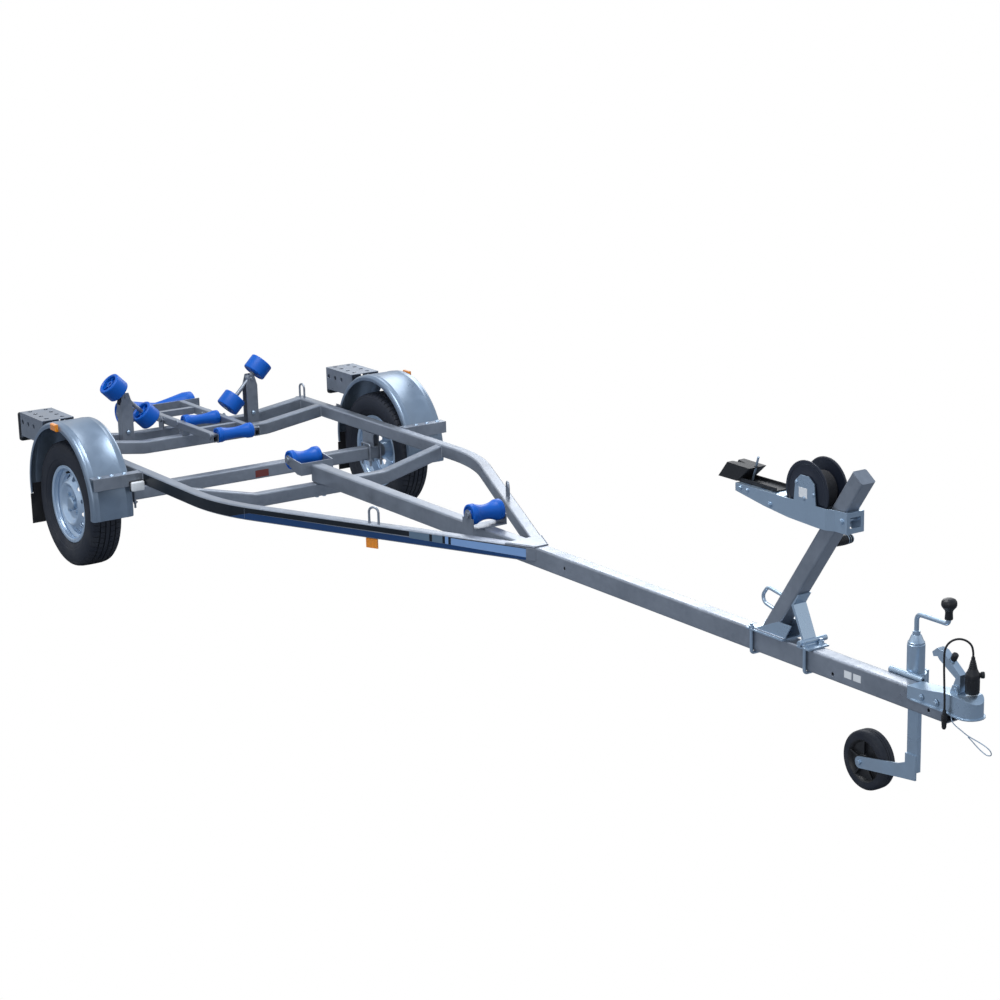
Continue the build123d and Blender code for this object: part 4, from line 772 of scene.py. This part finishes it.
def tyre_mesh(radius, half):
    """Tyre with two pairs of grooves, shoulder slots and fine sipes."""
    size = sizes()
    side = half_tyre(radius, half, size.groove_depth, size.groove_width)
    pitch, steps = math.tau / size.tread_pitches, 10
    bm = bmesh.new()
    bmesh.ops.spin(bm, geom=chain(bm, mirrored(side)), cent=(0, 0, 0), axis=(1, 0, 0),
                   angle=pitch, steps=steps)
    slots = []
    for face in bm.faces:
        middle = face.calc_center_median()
        turn = (math.atan2(-middle.y, middle.z) % math.tau) / pitch
        out = math.hypot(middle.y, middle.z)
        across = abs(middle.x)
        shoulder = out > radius - 0.013 and across > SHOULDER_FROM and turn < 1.01 / steps
        sipe = (out > radius - 0.004 and SIPE_FROM < across < SIPE_TO
                and 2.9 / steps < turn < 4.1 / steps)
        if shoulder or sipe:
            slots.append(face)
    made = bmesh.ops.extrude_face_region(bm, geom=slots)
    bmesh.ops.delete(bm, geom=slots, context="FACES")
    pushed = [v for v in made["geom"] if isinstance(v, bmesh.types.BMVert)]
    for vert in pushed:
        inwards = Vector((0.0, -vert.co.y, -vert.co.z)).normalized()
        bmesh.ops.translate(bm, verts=[vert], vec=inwards * SLOT_DEPTH)
    bmesh.ops.spin(bm, geom=bm.verts[:] + bm.edges[:] + bm.faces[:], cent=(0, 0, 0),
                   axis=(1, 0, 0), angle=math.tau - pitch, steps=size.tread_pitches - 1,
                   use_duplicate=True)
    bmesh.ops.remove_doubles(bm, verts=bm.verts, dist=PITCH_MERGE)
    return bm


class TRAILER_OT_tyres(Operator):
    """Builds the two road tyres with their tread"""
    bl_idname = "trailer.tyres"
    bl_label = "Tyres"

    def execute(self, context):
        for _, side in SIDES:
            middle, half, radius = extent("tyre_" + side)
            bm = shift(tyre_mesh(radius, half), middle)
            piece("Road_tyre_" + side, bm, "wheel_" + side, "tyre", "tyre_" + side)
        return {"FINISHED"}


# ---------- rims
WINDOWS, STEPS_PER_WINDOW, RIM_SHEET = 12, 8, 0.0038


def barrel(half, lip):
    bed = lip - 0.019
    side = [(0.022, bed - 0.012), (0.030, bed + 0.0035), (half - 0.0055, bed + 0.0035),
            (half - 0.0055, lip - 0.002), (half - 0.0045, lip - 0.0005), (half - 0.002, lip),
            (half, lip - 0.0020), (half, bed + 0.0050), (half - 0.0030, bed + 0.0010),
            (0.044, bed), (0.041, bed - 0.0022), (0.037, bed - 0.0022), (0.034, bed),
            (0.031, bed - 0.003), (0.026, bed - 0.014), (0.023, bed - 0.016)]
    return turned(mirrored(side), 96)


def disc(sign):
    """Domed sheet with its windows cut in the flank, then given its thickness."""
    sheet = ((0.012, 0.1442), (0.019, 0.1442), (0.024, 0.1400), (0.0295, 0.1320),
             (0.0335, 0.1265), (0.0390, 0.1195), (0.0440, 0.1130), (0.0500, 0.1065),
             (0.0545, 0.1020), (0.0570, 0.0970), (0.0560, 0.0920), (0.0520, 0.0870),
             (0.0440, 0.0800), (0.0380, 0.0740), (0.0352, 0.0685), (0.0345, 0.0310))
    steps = WINDOWS * STEPS_PER_WINDOW
    bm = turned(flipped(sheet, sign), steps, closed=False)
    holes = []
    for face in bm.faces:
        middle = face.calc_center_median()
        out = math.hypot(middle.y, middle.z)
        step = (math.atan2(-middle.y, middle.z) % math.tau) / math.tau * steps
        from_centre = abs(step % STEPS_PER_WINDOW - STEPS_PER_WINDOW / 2)
        if 0.120 < out < 0.126 and from_centre < 2 or 0.114 < out < 0.131 and from_centre < 1:
            holes.append(face)
    bmesh.ops.delete(bm, geom=holes, context="FACES")
    rim = [v for v in bm.verts if v.is_boundary and 0.11 < math.hypot(v.co.y, v.co.z) < 0.135]
    for _ in range(2):
        bmesh.ops.smooth_vert(bm, verts=rim, factor=0.5, use_axis_x=True, use_axis_y=True,
                              use_axis_z=True)
    bmesh.ops.recalc_face_normals(bm, faces=bm.faces)
    flat = min(bm.faces, key=lambda f: f.calc_center_median().yz.length)
    if flat.normal.x * sign < 0:
        bmesh.ops.reverse_faces(bm, faces=bm.faces)
    bmesh.ops.solidify(bm, geom=bm.faces[:], thickness=RIM_SHEET)
    return bm


class TRAILER_OT_rims(Operator):
    """Presses the road rims: rolled barrel and a domed disc with a ring of windows"""
    bl_idname = "trailer.rims"
    bl_label = "Rims"

    def execute(self, context):
        for sign, side in SIDES:
            middle, half, lip = extent("rim_" + side)
            bm = barrel(half, lip)
            merge(bm, disc(sign))
            shift(bm, middle)
            piece("Road_rim_" + side, bm, "wheel_" + side, "silver_paint", "rim_" + side)
        return {"FINISHED"}


# ---------- mudguards
GUARD_AHEAD, GUARD_Z = 25.0, 327.0       # centre of the arc, in millimetres
GUARD_FROM, GUARD_SWEEP, GUARD_SHEET = -7.0, 194.0, 0.0023      # degrees, metres


def guard_profile(half, radius):
    """Section of the rolled sheet: turned-down lips, round shoulders, two pressed beads."""
    corner, lip, bead, rise = 0.016, 0.026, 0.034, 0.0014
    side = [(half, radius - lip)]
    side += arc_points((half - corner, radius - corner), corner, 0, 90, 8)
    side += [(half - bead + 0.005, radius), (half - bead + 0.002, radius + rise),
             (half - bead - 0.002, radius + rise), (half - bead - 0.005, radius)]
    return mirrored(side)


class TRAILER_OT_mudguards(Operator):
    """Rolls the two mudguards"""
    bl_idname = "trailer.mudguards"
    bl_label = "Mudguards"

    def execute(self, context):
        for _, side in SIDES:
            low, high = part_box("mudguard_" + side)
            outline = guard_profile((high.x - low.x) / 2, high.z - GUARD_Z * MM)
            bm = bmesh.new()
            geom = chain(bm, outline)
            place(bm, Matrix.Rotation(math.radians(90 - GUARD_FROM), 4, "X"))
            bmesh.ops.spin(bm, geom=geom, cent=(0, 0, 0), axis=(1, 0, 0),
                           angle=-math.radians(GUARD_SWEEP), steps=84)
            bmesh.ops.recalc_face_normals(bm, faces=bm.faces)
            bmesh.ops.solidify(bm, geom=bm.faces[:], thickness=GUARD_SHEET)
            shift(bm, ((low.x + high.x) / 2, ahead(GUARD_AHEAD), GUARD_Z * MM))
            piece("Mudguard_sheet_" + side, bm, "chassis", "grey_plastic", "mudguard_" + side)
        return {"FINISHED"}


# ---------- rollers
def waisted_profile(end, waist, half, band, shape):
    """Outline of a keel roller: bore, hollow cheek, band, curved or straight waist."""
    bore, edge = 0.0085, 0.004
    reach = half - band
    side = [(half - 0.003, bore), (half - 0.003, bore + 0.008), (half, bore + 0.009),
            (half, bore + 0.012), (half - 0.005, bore + 0.014), (half - 0.005, end - 0.011),
            (half, end - 0.009)]
    side += arc_points((half - edge, end - edge), edge, 0, 90, 4)
    side += [(reach + 0.009, end), (reach + 0.008, end - 0.0012), (reach + 0.006, end - 0.0012),
             (reach + 0.005, end)]
    count = 12
    for k in range(count + 1):
        x = reach * (1 - k / count)
        side.append((x, waist + (end - waist) * (x / reach) ** shape))
    return mirrored(side)


# node, body, waist over end radius, band width, power of the waist's curve
WAISTED = (
    ("keel_roller_front", "front_keel_roller", 0.72, 0.024, 2.0),
    ("keel_roller_middle", "middle_keel_roller", 0.72, 0.024, 2.0),
    ("cradle_roller_front", "cradle_front_roller", 0.72, 0.024, 2.0),
    ("cradle_roller_middle", "cradle_middle_roller", 0.72, 0.024, 2.0),
    ("cradle_roller_rear", "cradle_rear_roller", 0.47, 0.042, 1.15),
)


def wobble(which, centre, axis):
    """Short roller with a ribbed hollow in its outer face."""
    half, radius, edge, bore = 0.0375, 0.058, 0.007, 0.0104
    profile = [(-half, bore), (-half, 0.022), (4e-3 - half, 0.024), (4e-3 - half, 0.046),
               (-half, 0.048)]
    profile += arc_points((edge - half, radius - edge), edge, 180, 90, 5)
    profile += arc_points((half - edge, radius - edge), edge, 90, 0, 5)
    profile += [(half, 0.045), (half - 0.004, 0.041), (half - 0.022, 0.038),
                (half - 0.022, 0.019), (half - 0.008, 0.0175), (half - 0.008, bore)]
    bm = turned(profile, 48)
    ribs(bm, 6, (half - 0.023, -0.0016, 0.017), (half - 0.010, 0.0016, 0.040))
    place(bm, Matrix.Translation(centre) @ facing(axis, "X", "Y"))
    piece("Wobble_roller_" + which, bm, "arm_" + which + "_roller", "blue_plastic",
          "wobble_roller_" + which)


class TRAILER_OT_rollers(Operator):
    """Turns the keel rollers and the wobble rollers"""
    bl_idname = "trailer.rollers"
    bl_label = "Rollers"

    def execute(self, context):
        for node, body, share, band, shape in WAISTED:
            middle, half, end = extent(node)
            bm = shift(turned(waisted_profile(end, end * share, half, band, shape), 56), middle)
            piece(node.replace("_", " ").title().replace(" ", "_"), bm, body, "blue_plastic",
                  node)
        for joint in frame["joints"]:
            name = joint["name"]
            if name.startswith("arm_") and name.endswith("_spin"):
                wobble(name[4:-5], Vector(joint["pos_m"]), Vector(joint["axis"]))
        return {"FINISHED"}


# ---------- jockey wheel and nose
BUTTON = ((0.0, 4764.5, 613.0), (0.0, 4775.5, 635.0))  # foot and top: x, ahead, height


def jockey_wheel():
    middle, half, radius = extent("jockey_wheel")
    side = inset(half, radius, ((0.002, 0.031), (0.001, 0.024)))
    side += arc_points((half - 0.014, radius - 0.014), 0.0135, 0, 90, 8)
    side += [(0.006, radius), (0.0055, radius - 0.002), (0.0035, radius - 0.002), (0.003, radius)]
    tyre = shift(turned(mirrored(side), 64), middle)
    piece("Jockey_tyre", tyre, "jockey_road_wheel", "jockey_black", "jockey_wheel")
    face = [(half, 0.0085), (half, 0.022), (half - 0.002, 0.024), (half - 0.014, 0.027)]
    face += inset(half, radius, ((0.014, 0.040), (0.004, 0.034), (0.0015, 0.030), (0.006, 0.028)))
    disc = turned(mirrored(face), 56)
    for way in (-1, 1):
        x = sorted((way * (half - 0.016), way * (half - 0.003)))
        ribs(disc, 5, (x[0], -0.003, 0.022), (x[1], 0.003, radius - 0.034), 0.001, 1)
    shift(disc, middle)
    piece("Jockey_wheel_disc", disc, "jockey_road_wheel", "jockey_black", finish="Black plastic")


def knob():
    low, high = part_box("jockey_knob")
    middle = (low + high) / 2
    profile = [(0.0, 0.0085), (0.0, 0.013), (0.003, 0.0138), (0.022, 0.0125), (0.030, 0.0140),
               (0.037, 0.0195), (0.042, 0.0238), (0.047, 0.0258), (0.053, 0.0260),
               (0.060, 0.0250), (0.066, 0.0205), (0.069, 0.0140), (0.070, 0.0070),
               (0.070, 0.0), (0.027, 0.0), (0.027, 0.0085)]
    bm = turned(profile, 40)
    upright(bm, (middle.x, middle.y, low.z))
    piece("Jockey_grip", bm, "jockey_handle", "black_plastic", "jockey_knob")


def plug():
    profile = [(0.004, 0.0), (0.004, 0.016), (0.0, 0.0175), (0.0, 0.021), (0.003, 0.0228),
               (0.030, 0.0230), (0.050, 0.0230), (0.051, 0.0240), (0.062, 0.0240),
               (0.066, 0.0225), (0.072, 0.0185), (0.078, 0.0160)]
    for k in range(5):                      # rings of the boot
        x, r = 0.079 + 0.0065 * k, 0.0152 - 0.0015 * k
        profile += [(x, r), (x + 0.003, r - 0.0006), (x + 0.0034, r - 0.0022),
                    (x + 0.006, r - 0.0026)]
    profile += [(0.114, 0.0066), (0.120, 0.0058), (0.120, 0.0)]
    bm = turned(profile, 40)
    ribs(bm, 12, (0.012, -0.0011, 0.0215), (0.044, 0.0011, 0.0238), 0.0005, 1)
    upright(bm, spot(*PLUG))
    lug = turned([(0.014, 0.0), (0.014, 0.0075), (0.024, 0.0080), (0.027, 0.0108),
                  (0.034, 0.0112), (0.037, 0.0095), (0.038, 0.0)], 24)
    merge(bm, lay_along(lug, spot(PLUG[0], PLUG[1], PLUG[2] + 60.0), (0.80, -0.60, 0.0)))
    piece("Trailer_plug", bm, "chassis", "black_plastic", "plug")


def gland():
    low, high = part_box("cable_gland")
    top, seat = high.z - low.z, 0.0475
    profile = [(0.0, 0.0), (0.0, 0.0045), (0.004, 0.0068)]
    for k in range(5):                      # rings of the rubber, wider upwards
        x, r = 0.006 + 0.0075 * k, 0.0075 + 0.0006 * k
        profile += [(x, r), (x + 0.0045, r + 0.0004), (x + 0.0055, r - 0.0008),
                    (x + 0.0070, r - 0.0006)]
    profile += [(seat - 0.002, 0.0100), (seat, 0.0096), (seat, 0.0064), (top - 0.003, 0.0062),
                (top, 0.0050), (top, 0.0)]
    bm = turned(profile, 32)
    upright(bm, (GLAND[0] * MM, ahead(GLAND[1]), low.z))
    piece("Gland_rubber", bm, "chassis", "black_rubber", "cable_gland")


def lever_cap():
    """Black cap on the stub of the coupling's lever."""
    start, end = (Vector(spot(*point)) for point in BUTTON)
    line = end - start
    reach = line.length
    cap = [(0.0, 0.0), (0.0, 0.0096), (0.002, 0.0110), (reach - 0.004, 0.0110),
           (reach - 0.001, 0.0090), (reach, 0.0)]
    bm = lay_along(turned(cap, 24), start, line)
    piece("Lever_cap", bm, "chassis", "black_plastic")


def collar():
    """Cone that closes the top of the jockey wheel's column."""
    low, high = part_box("jockey_tube")
    cone = [(0.0, 0.0140), (0.0, 0.0285), (0.005, 0.0285), (0.008, 0.0250), (0.027, 0.0172),
            (0.030, 0.0155), (0.030, 0.0140)]
    bm = turned(cone, 40)
    upright(bm, ((low.x + high.x) / 2, (low.y + high.y) / 2, high.z))
    piece("Column_collar", bm, "chassis", "zinc")


class TRAILER_OT_nose(Operator):
    """Makes the jockey wheel, its knob and collar, the plug, the gland and the lever's button"""
    bl_idname = "trailer.nose"
    bl_label = "Nose"

    def execute(self, context):
        for build in (jockey_wheel, knob, plug, gland, lever_cap, collar):
            build()
        return {"FINISHED"}


# ---------- winch
class TRAILER_OT_winch(Operator):
    """Makes the drum's pressed flanges, the wound strap and the crank's grip"""
    bl_idname = "trailer.winch"
    bl_label = "Winch"

    def execute(self, context):
        centre = JOINT["winch_turn"]
        low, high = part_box("winch_drum")
        radius = (high.z - low.z) / 2
        bm = turned([(-0.040, 0.0), (-0.040, 0.0238), (0.040, 0.0238), (0.040, 0.0)], 32)
        for way in (-1, 1):
            flange = [(0.0395, 0.020), (0.0395, radius - 0.010), (0.0385, radius - 0.004),
                      (0.0405, radius), (0.0440, radius), (0.0450, radius - 0.003),
                      (0.0448, radius - 0.011), (0.0420, radius - 0.015), (0.0420, 0.070),
                      (0.0445, 0.064), (0.0445, 0.020)]
            merge(bm, turned(flipped(flange, way), 72))
        near = -0.0538                          # its end lies under the label
        merge(bm, turned([(near, 0.0), (near, 0.0078), (high.x, 0.0078), (high.x, 0.0)], 24))
        shift(bm, (0.0, centre.y, centre.z))
        piece("Winch_drum_flanges", bm, "winch", "black_paint", "winch_drum")

        inner, layers = 0.0378, 19
        wound = [(-inner, 0.024), (-inner, 0.060)]
        for k in range(layers):
            x = -inner + 0.001 + (2 * inner - 0.002) * k / (layers - 1)
            wound.append((x, 0.0617 + 0.0005 * (k % 2)))
        wound += [(inner, 0.060), (inner, 0.024)]
        strap = shift(turned(wound, 64), (0.0, centre.y, centre.z))
        piece("Winch_strap_wound", strap, "winch", "webbing", "winch_strap")

        crank_low, crank_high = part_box("winch_crank")
        start, end = crank_high.x - 0.086, crank_high.x + 0.0008
        grip = [(start, 0.0), (start, 0.0146)]
        for k in range(8):                      # finger rings
            x = start + 0.006 + 0.009 * k
            swell = 0.0160 + 0.0018 * math.sin(math.pi * (k + 0.5) / 8)
            grip += [(x, swell), (x + 0.0055, swell), (x + 0.0065, swell - 0.0009),
                     (x + 0.0080, swell - 0.0009)]
        grip += [(end - 0.005, 0.0130), (end - 0.001, 0.0090), (end, 0.0)]
        bm = shift(turned(grip, 32), (0.0, centre.y, crank_low.z + 0.017))
        piece("Winch_crank_grip", bm, "winch", "black_plastic")
        return {"FINISHED"}


# ---------- lamps
REAR_LAMP_WIDTH, LENS_PROUD, LENS_DEPTH = 0.143, 0.002, 0.006
MARKER_WIDTH, MARKER_LIP = 0.066, 0.0015        # its base shows round the lens by the lip
# lens finish, low and high share of the lamp's height, share of its width
ZONES = (("Red lens", 0.62, 0.94, 0.06, 0.94), ("Amber lens", 0.34, 0.60, 0.06, 0.94),
         ("Red lens", 0.06, 0.32, 0.06, 0.60), ("Clear lens", 0.06, 0.32, 0.62, 0.94))


def sided(sign, inner, outer, low, high, *rounding):
    """Slab on one side, from inner to outer x and between two corners in (y, z)."""
    x = sorted((sign * inner, sign * outer))
    return slab((x[0], *low), (x[1], *high), *rounding)


def stands_for(node, side):
    """A node that holds both sides' lamps gives way to the first side's piece."""
    return [node] if side == SIDES[0][1] else []


class TRAILER_OT_lamps(Operator):
    """Makes the lamps: housings, lenses in their zones, and bezels"""
    bl_idname = "trailer.lamps"
    bl_label = "Lamps"

    def execute(self, context):
        low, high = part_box("rear_lamps")
        inner, wide, tall = high.x - REAR_LAMP_WIDTH, REAR_LAMP_WIDTH, high.z - low.z
        for sign, side in SIDES:
            housing = sided(sign, inner, high.x, (low.y, low.z), (high.y - LENS_PROUD, high.z),
                            0.009, 4)
            piece("Rear_lamp_housing_" + side, housing, "chassis", "lamp_red",
                  *stands_for("rear_lamps", side), finish="Black plastic")
            for number, (finish, z0, z1, x0, x1) in enumerate(ZONES):
                bm = sided(sign, inner + wide * x0, inner + wide * x1,
                           (high.y - LENS_DEPTH, low.z + tall * z0),
                           (high.y, low.z + tall * z1), 0.0015, 3)
                piece("Rear_lens_%s_%d" % (side, number), bm, "chassis", "lamp_red",
                      finish=finish)

        low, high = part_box("front_marker_lamps")
        inner, lip = high.x - MARKER_WIDTH, MARKER_LIP
        for sign, side in SIDES:
            base = sided(sign, inner, high.x, (high.y - 0.008, low.z), (high.y, high.z), 0.002, 2)
            piece("Marker_base_" + side, base, "chassis", "lamp_clear", finish="Black plastic")
            bm = sided(sign, inner + lip, high.x - lip, (low.y, low.z + lip),
                       (high.y - 0.007, high.z - lip), 0.007, 4)
            piece("Marker_lens_" + side, bm, "chassis", "lamp_clear",
                  *stands_for("front_marker_lamps", side))
        return {"FINISHED"}


# ---------- fasteners
VALVE_OUT, VALVE_UP = 0.024, 0.147      # from the wheel's centre, in metres
# x, ahead, height, direction it stands along, key radius, head height; both sides
PAIRS = (
    *((x, 374.6, 485.0, (0, 0, 1), 8.0, 6.0) for x in (880.0, 820.0, 760.0)),
    (54.0, 3781.0, 984.0, (1, 0, 0), 7.0, 5.0),
    (54.0, 3818.0, 982.0, (1, 0, 0), 7.0, 5.0),
    (54.0, 4110.0, 1013.0, (1, 0, 0), 6.0, 4.0),
    (54.0, 4157.0, 1033.0, (1, 0, 0), 6.0, 4.0),
    (54.0, 4072.0, 1062.0, (1, 0, 0), 6.0, 4.0),
    (36.0, 4660.0, 466.0, (1, 0, 0), 9.0, 7.0),
    (36.5, 4728.0, 466.0, (1, 0, 0), 9.0, 7.0),
    (338.0, -470.0, 462.0, (0, -1, 0), 8.0, 6.0),
    (18.0, 772.0, 345.0, (0, 0, -1), 9.0, 8.0),
)


def valve(sign, side):
    """Rubber valve with its cap, through the rim's well."""
    hub = JOINT["wheel_" + side + "_spin"]
    profile = [(0.0, 0.0), (0.0, 0.0060), (0.006, 0.0052), (0.022, 0.0042), (0.023, 0.0050),
               (0.034, 0.0050), (0.036, 0.0040), (0.036, 0.0)]
    bm = turned(flipped(profile, sign), 16)
    shift(bm, (hub.x + sign * VALVE_OUT, hub.y, hub.z + VALVE_UP))
    piece("Valve_" + side, bm, "wheel_" + side, "tyre", finish="Rubber")


class TRAILER_OT_fasteners(Operator):
    """Puts bolts, nuts and valves where the pieces are bolted together"""
    bl_idname = "trailer.fasteners"
    bl_label = "Fasteners"

    def execute(self, context):
        bm = bmesh.new()
        for x, distance, z, way, radius, tall in PAIRS:
            for sign in (-1, 1):
                merge(bm, hex_bolt(spot(sign * x, distance, z), (sign * way[0], *way[1:]),
                                   radius * MM, tall * MM))
        piece("Frame_bolts", bm, "chassis", "zinc")
        for sign, side in SIDES:
            valve(sign, side)
        return {"FINISHED"}


# ---------- weld beads
def bead(start, end, radius):
    """Weld bead: a rippled round bar between two points, half sunk in its corner."""
    start, end = Vector(start), Vector(end)
    line = end - start
    count = max(4, round(line.length / (radius * 1.1)))
    profile = [(0.0, 0.0), (0.0, radius * 0.6)]
    for k in range(count):
        t = (k + 0.5) / count
        profile += [(line.length * t, radius), (line.length * (k + 1) / count, radius * 0.82)]
    profile += [(line.length, 0.0)]
    return lay_along(turned(profile, 10), start, line)


# from and to as x, ahead, height in millimetres; both sides
LINES = (
    *(((632.0, d, low), (632.0, d, high)) for d, low, high in
      ((746.0, 424.0, 476.0), (798.0, 424.0, 476.0), (-366.0, 430.0, 480.0),
       (-314.0, 430.0, 480.0), (-571.0, 430.0, 480.0), (-519.0, 430.0, 480.0))),
    ((632.0, 750.0, 478.0), (632.0, 794.0, 478.0)),
    ((682.0, 397.0, 432.0), (682.0, 397.0, 482.0)),
    ((682.0, 358.0, 485.0), (682.0, 394.0, 485.0)),
    ((30.0, 2336.0, 430.0), (30.0, 2336.0, 478.0)),
    ((87.0, 2380.0, 486.0), (30.5, 2505.0, 486.0)),
    ((35.5, 3836.0, 491.5), (35.5, 3994.0, 491.5)),
    ((2.0, 3931.5, 491.5), (29.0, 3931.5, 491.5)),
)


class TRAILER_OT_welds(Operator):
    """Lays weld beads along the welded joints"""
    bl_idname = "trailer.welds"
    bl_label = "Welds"

    def execute(self, context):
        radius = sizes().bead_radius
        bm = bmesh.new()
        for start, end in LINES:
            for sign in (-1, 1):
                ends = (spot(sign * x, distance, z) for x, distance, z in (start, end))
                merge(bm, bead(*ends, radius))
        piece("Weld_beads", bm, "chassis", "galvanised")
        return {"FINISHED"}


# ---------- decals and labels
DECAL_FILM = 0.0002                     # every second decal is twice as thick


def rail_outer(distance):
    """Point on the outer face of the left rail and that face's direction, in millimetres."""
    toe = math.atan2(RAIL_MID - BEAM_HALF, RAIL_JOIN - RAIL_BEND)
    tangent = RAIL_RADIUS * math.tan(toe / 2)
    start = RAIL_BEND - tangent
    if distance <= start:
        centre, turn = (RAIL_MID, distance), 0.0
    elif distance >= RAIL_BEND + tangent * math.cos(toe):
        centre = (RAIL_MID - (distance - RAIL_BEND) * math.tan(toe), distance)
        turn = toe
    else:
        turn = math.asin((distance - start) / RAIL_RADIUS)
        centre = (RAIL_MID - RAIL_RADIUS * (1 - math.cos(turn)), distance)
    off = RAIL_W / 2
    return centre[0] + off * math.cos(turn), centre[1] + off * math.sin(turn), turn


def rail_strip(side, start, end, low, high, step=40.0):
    """Thin band on a rail's outer face; low and high are heights at its start and end."""
    lift = sizes().decal_thickness / MM
    count = max(1, round((end - start) / step))
    rows = []
    bm = bmesh.new()
    for k in range(count + 1):
        t = k / count
        x, distance, turn = rail_outer(start + (end - start) * t)
        x += lift * math.cos(turn)
        distance += lift * math.sin(turn)
        heights = (low[0] + (low[1] - low[0]) * t, high[0] + (high[1] - high[0]) * t)
        rows.append([bm.verts.new(spot(side * x, distance, z)) for z in heights])
    for a, b in zip(rows, rows[1:]):
        bm.faces.new((a[0], b[0], b[1], a[1]))
    return bm


FOOT, HEAD = (430.5, 430.5), (479.5, 479.5)     # edges of the whole band
REAR, TURN, FRONT, PANEL, TIP = 1130.0, 1230.0, 1960.0, 2141.0, 2458.0
# name, finish, from, to (ahead of the axle), heights at both ends: low and high
BANDS = (
    ("stripe_black_rear", "Decal black", 402.0, REAR, FOOT, HEAD),
    ("stripe_black_turn", "Decal black", REAR, TURN, (431.0, 458.5), HEAD),
    ("stripe_black_front", "Decal black", TURN, FRONT, (458.5, 458.5), HEAD),
    ("stripe_blue_turn", "Decal blue", REAR, TURN, FOOT, (430.7, 458.0)),
    ("stripe_blue_front", "Decal blue", TURN, FRONT, FOOT, (458.0, 454.0)),
    ("stripe_blue_tip", "Decal blue", FRONT, TIP, FOOT, (452.0, 441.0)),
    ("block_rear", "Decal slate", 1961.0, 2048.0, (452.5, 450.5), HEAD),
    ("line_rear", "Decal black", 2048.0, 2060.0, (450.5, 450.5), HEAD),
    ("block_front", "Decal slate", 2060.0, 2105.0, (450.5, 449.5), HEAD),
    ("line_middle", "Decal black", 2105.0, 2116.0, (449.5, 449.5), HEAD),
    ("block_short", "Decal pale", 2116.0, 2130.0, (449.5, 449.0), HEAD),
    ("line_front", "Decal black", 2130.0, PANEL, (449.0, 448.5), HEAD),
    ("panel_pale", "Decal pale", PANEL, TIP, (448.5, 441.5), (476.0, 476.0)),
    ("line_over_panel", "Decal black", PANEL, TIP, (476.5, 476.5), HEAD),
)
# name, finish, low corner and high corner as x, ahead, height
LABELS = (
    ("winch", "Blank label", (-54.4, 4084.0, 1014.0), (-54.1, 4126.0, 1049.0)),
    ("drawbar_rear", "Blank label", (-30.4, 4292.0, 434.0), (-30.1, 4328.0, 459.0)),
    ("drawbar_front", "Blank label", (-30.4, 4336.0, 434.0), (-30.1, 4373.0, 459.0)),
    ("axle", "Red mark", (0.0, 160.4, 304.0), (70.0, 160.1, 338.0)),
)


class TRAILER_OT_decals(Operator):
    """Puts the dark and blue stripes and the blank panels on the rails"""
    bl_idname = "trailer.decals"
    bl_label = "Decals"

    def execute(self, context):
        for sign, side in SIDES:
            for order, (name, finish, start, end, low, high) in enumerate(BANDS):
                bm = rail_strip(sign, start, end, low, high)
                film = DECAL_FILM * (1 + order % 2)
                bmesh.ops.solidify(bm, geom=bm.faces[:], thickness=film)
                piece("Rail_" + name + "_" + side, bm, "chassis", "galvanised", finish=finish)
        for name, finish, low, high in LABELS:
            corners = spot(*low), spot(*high)
            bm = slab([min(c) for c in zip(*corners)], [max(c) for c in zip(*corners)])
            piece("Label_" + name, bm, "chassis", "galvanised", finish=finish)
        return {"FINISHED"}


# ---------- panel and registration
OPERATORS = (TRAILER_OT_stage, TRAILER_OT_cords, TRAILER_OT_finishes, TRAILER_OT_tyres,
             TRAILER_OT_rims, TRAILER_OT_mudguards, TRAILER_OT_rollers, TRAILER_OT_nose,
             TRAILER_OT_winch, TRAILER_OT_lamps, TRAILER_OT_fasteners, TRAILER_OT_welds,
             TRAILER_OT_decals)


class TRAILER_PT_panel(Panel):
    bl_idname = "TRAILER_PT_panel"
    bl_label = "Boat Trailer"
    bl_space_type = "VIEW_3D"
    bl_region_type = "UI"
    bl_category = "Boat Trailer"

    def draw(self, context):
        for operator in OPERATORS:
            self.layout.operator(operator.bl_idname)
        for props in (context.scene.trailer_sizes, context.scene.trailer_colours):
            box = self.layout.box()
            for name in props.__annotations__:
                box.prop(props, name)


CLASSES = (TrailerSizes, TrailerColours, *OPERATORS, TRAILER_PT_panel)


def register():
    for cls in CLASSES:
        bpy.utils.register_class(cls)
    bpy.types.Scene.trailer_sizes = PointerProperty(type=TrailerSizes)
    bpy.types.Scene.trailer_colours = PointerProperty(type=TrailerColours)


def unregister():
    del bpy.types.Scene.trailer_colours
    del bpy.types.Scene.trailer_sizes
    for cls in reversed(CLASSES):
        bpy.utils.unregister_class(cls)


def main():
    register()
    for operator in OPERATORS:
        getattr(bpy.ops.trailer, operator.bl_idname.split(".")[1])()
    bpy.context.view_layer.update()


if __name__ == "__main__":
    main()
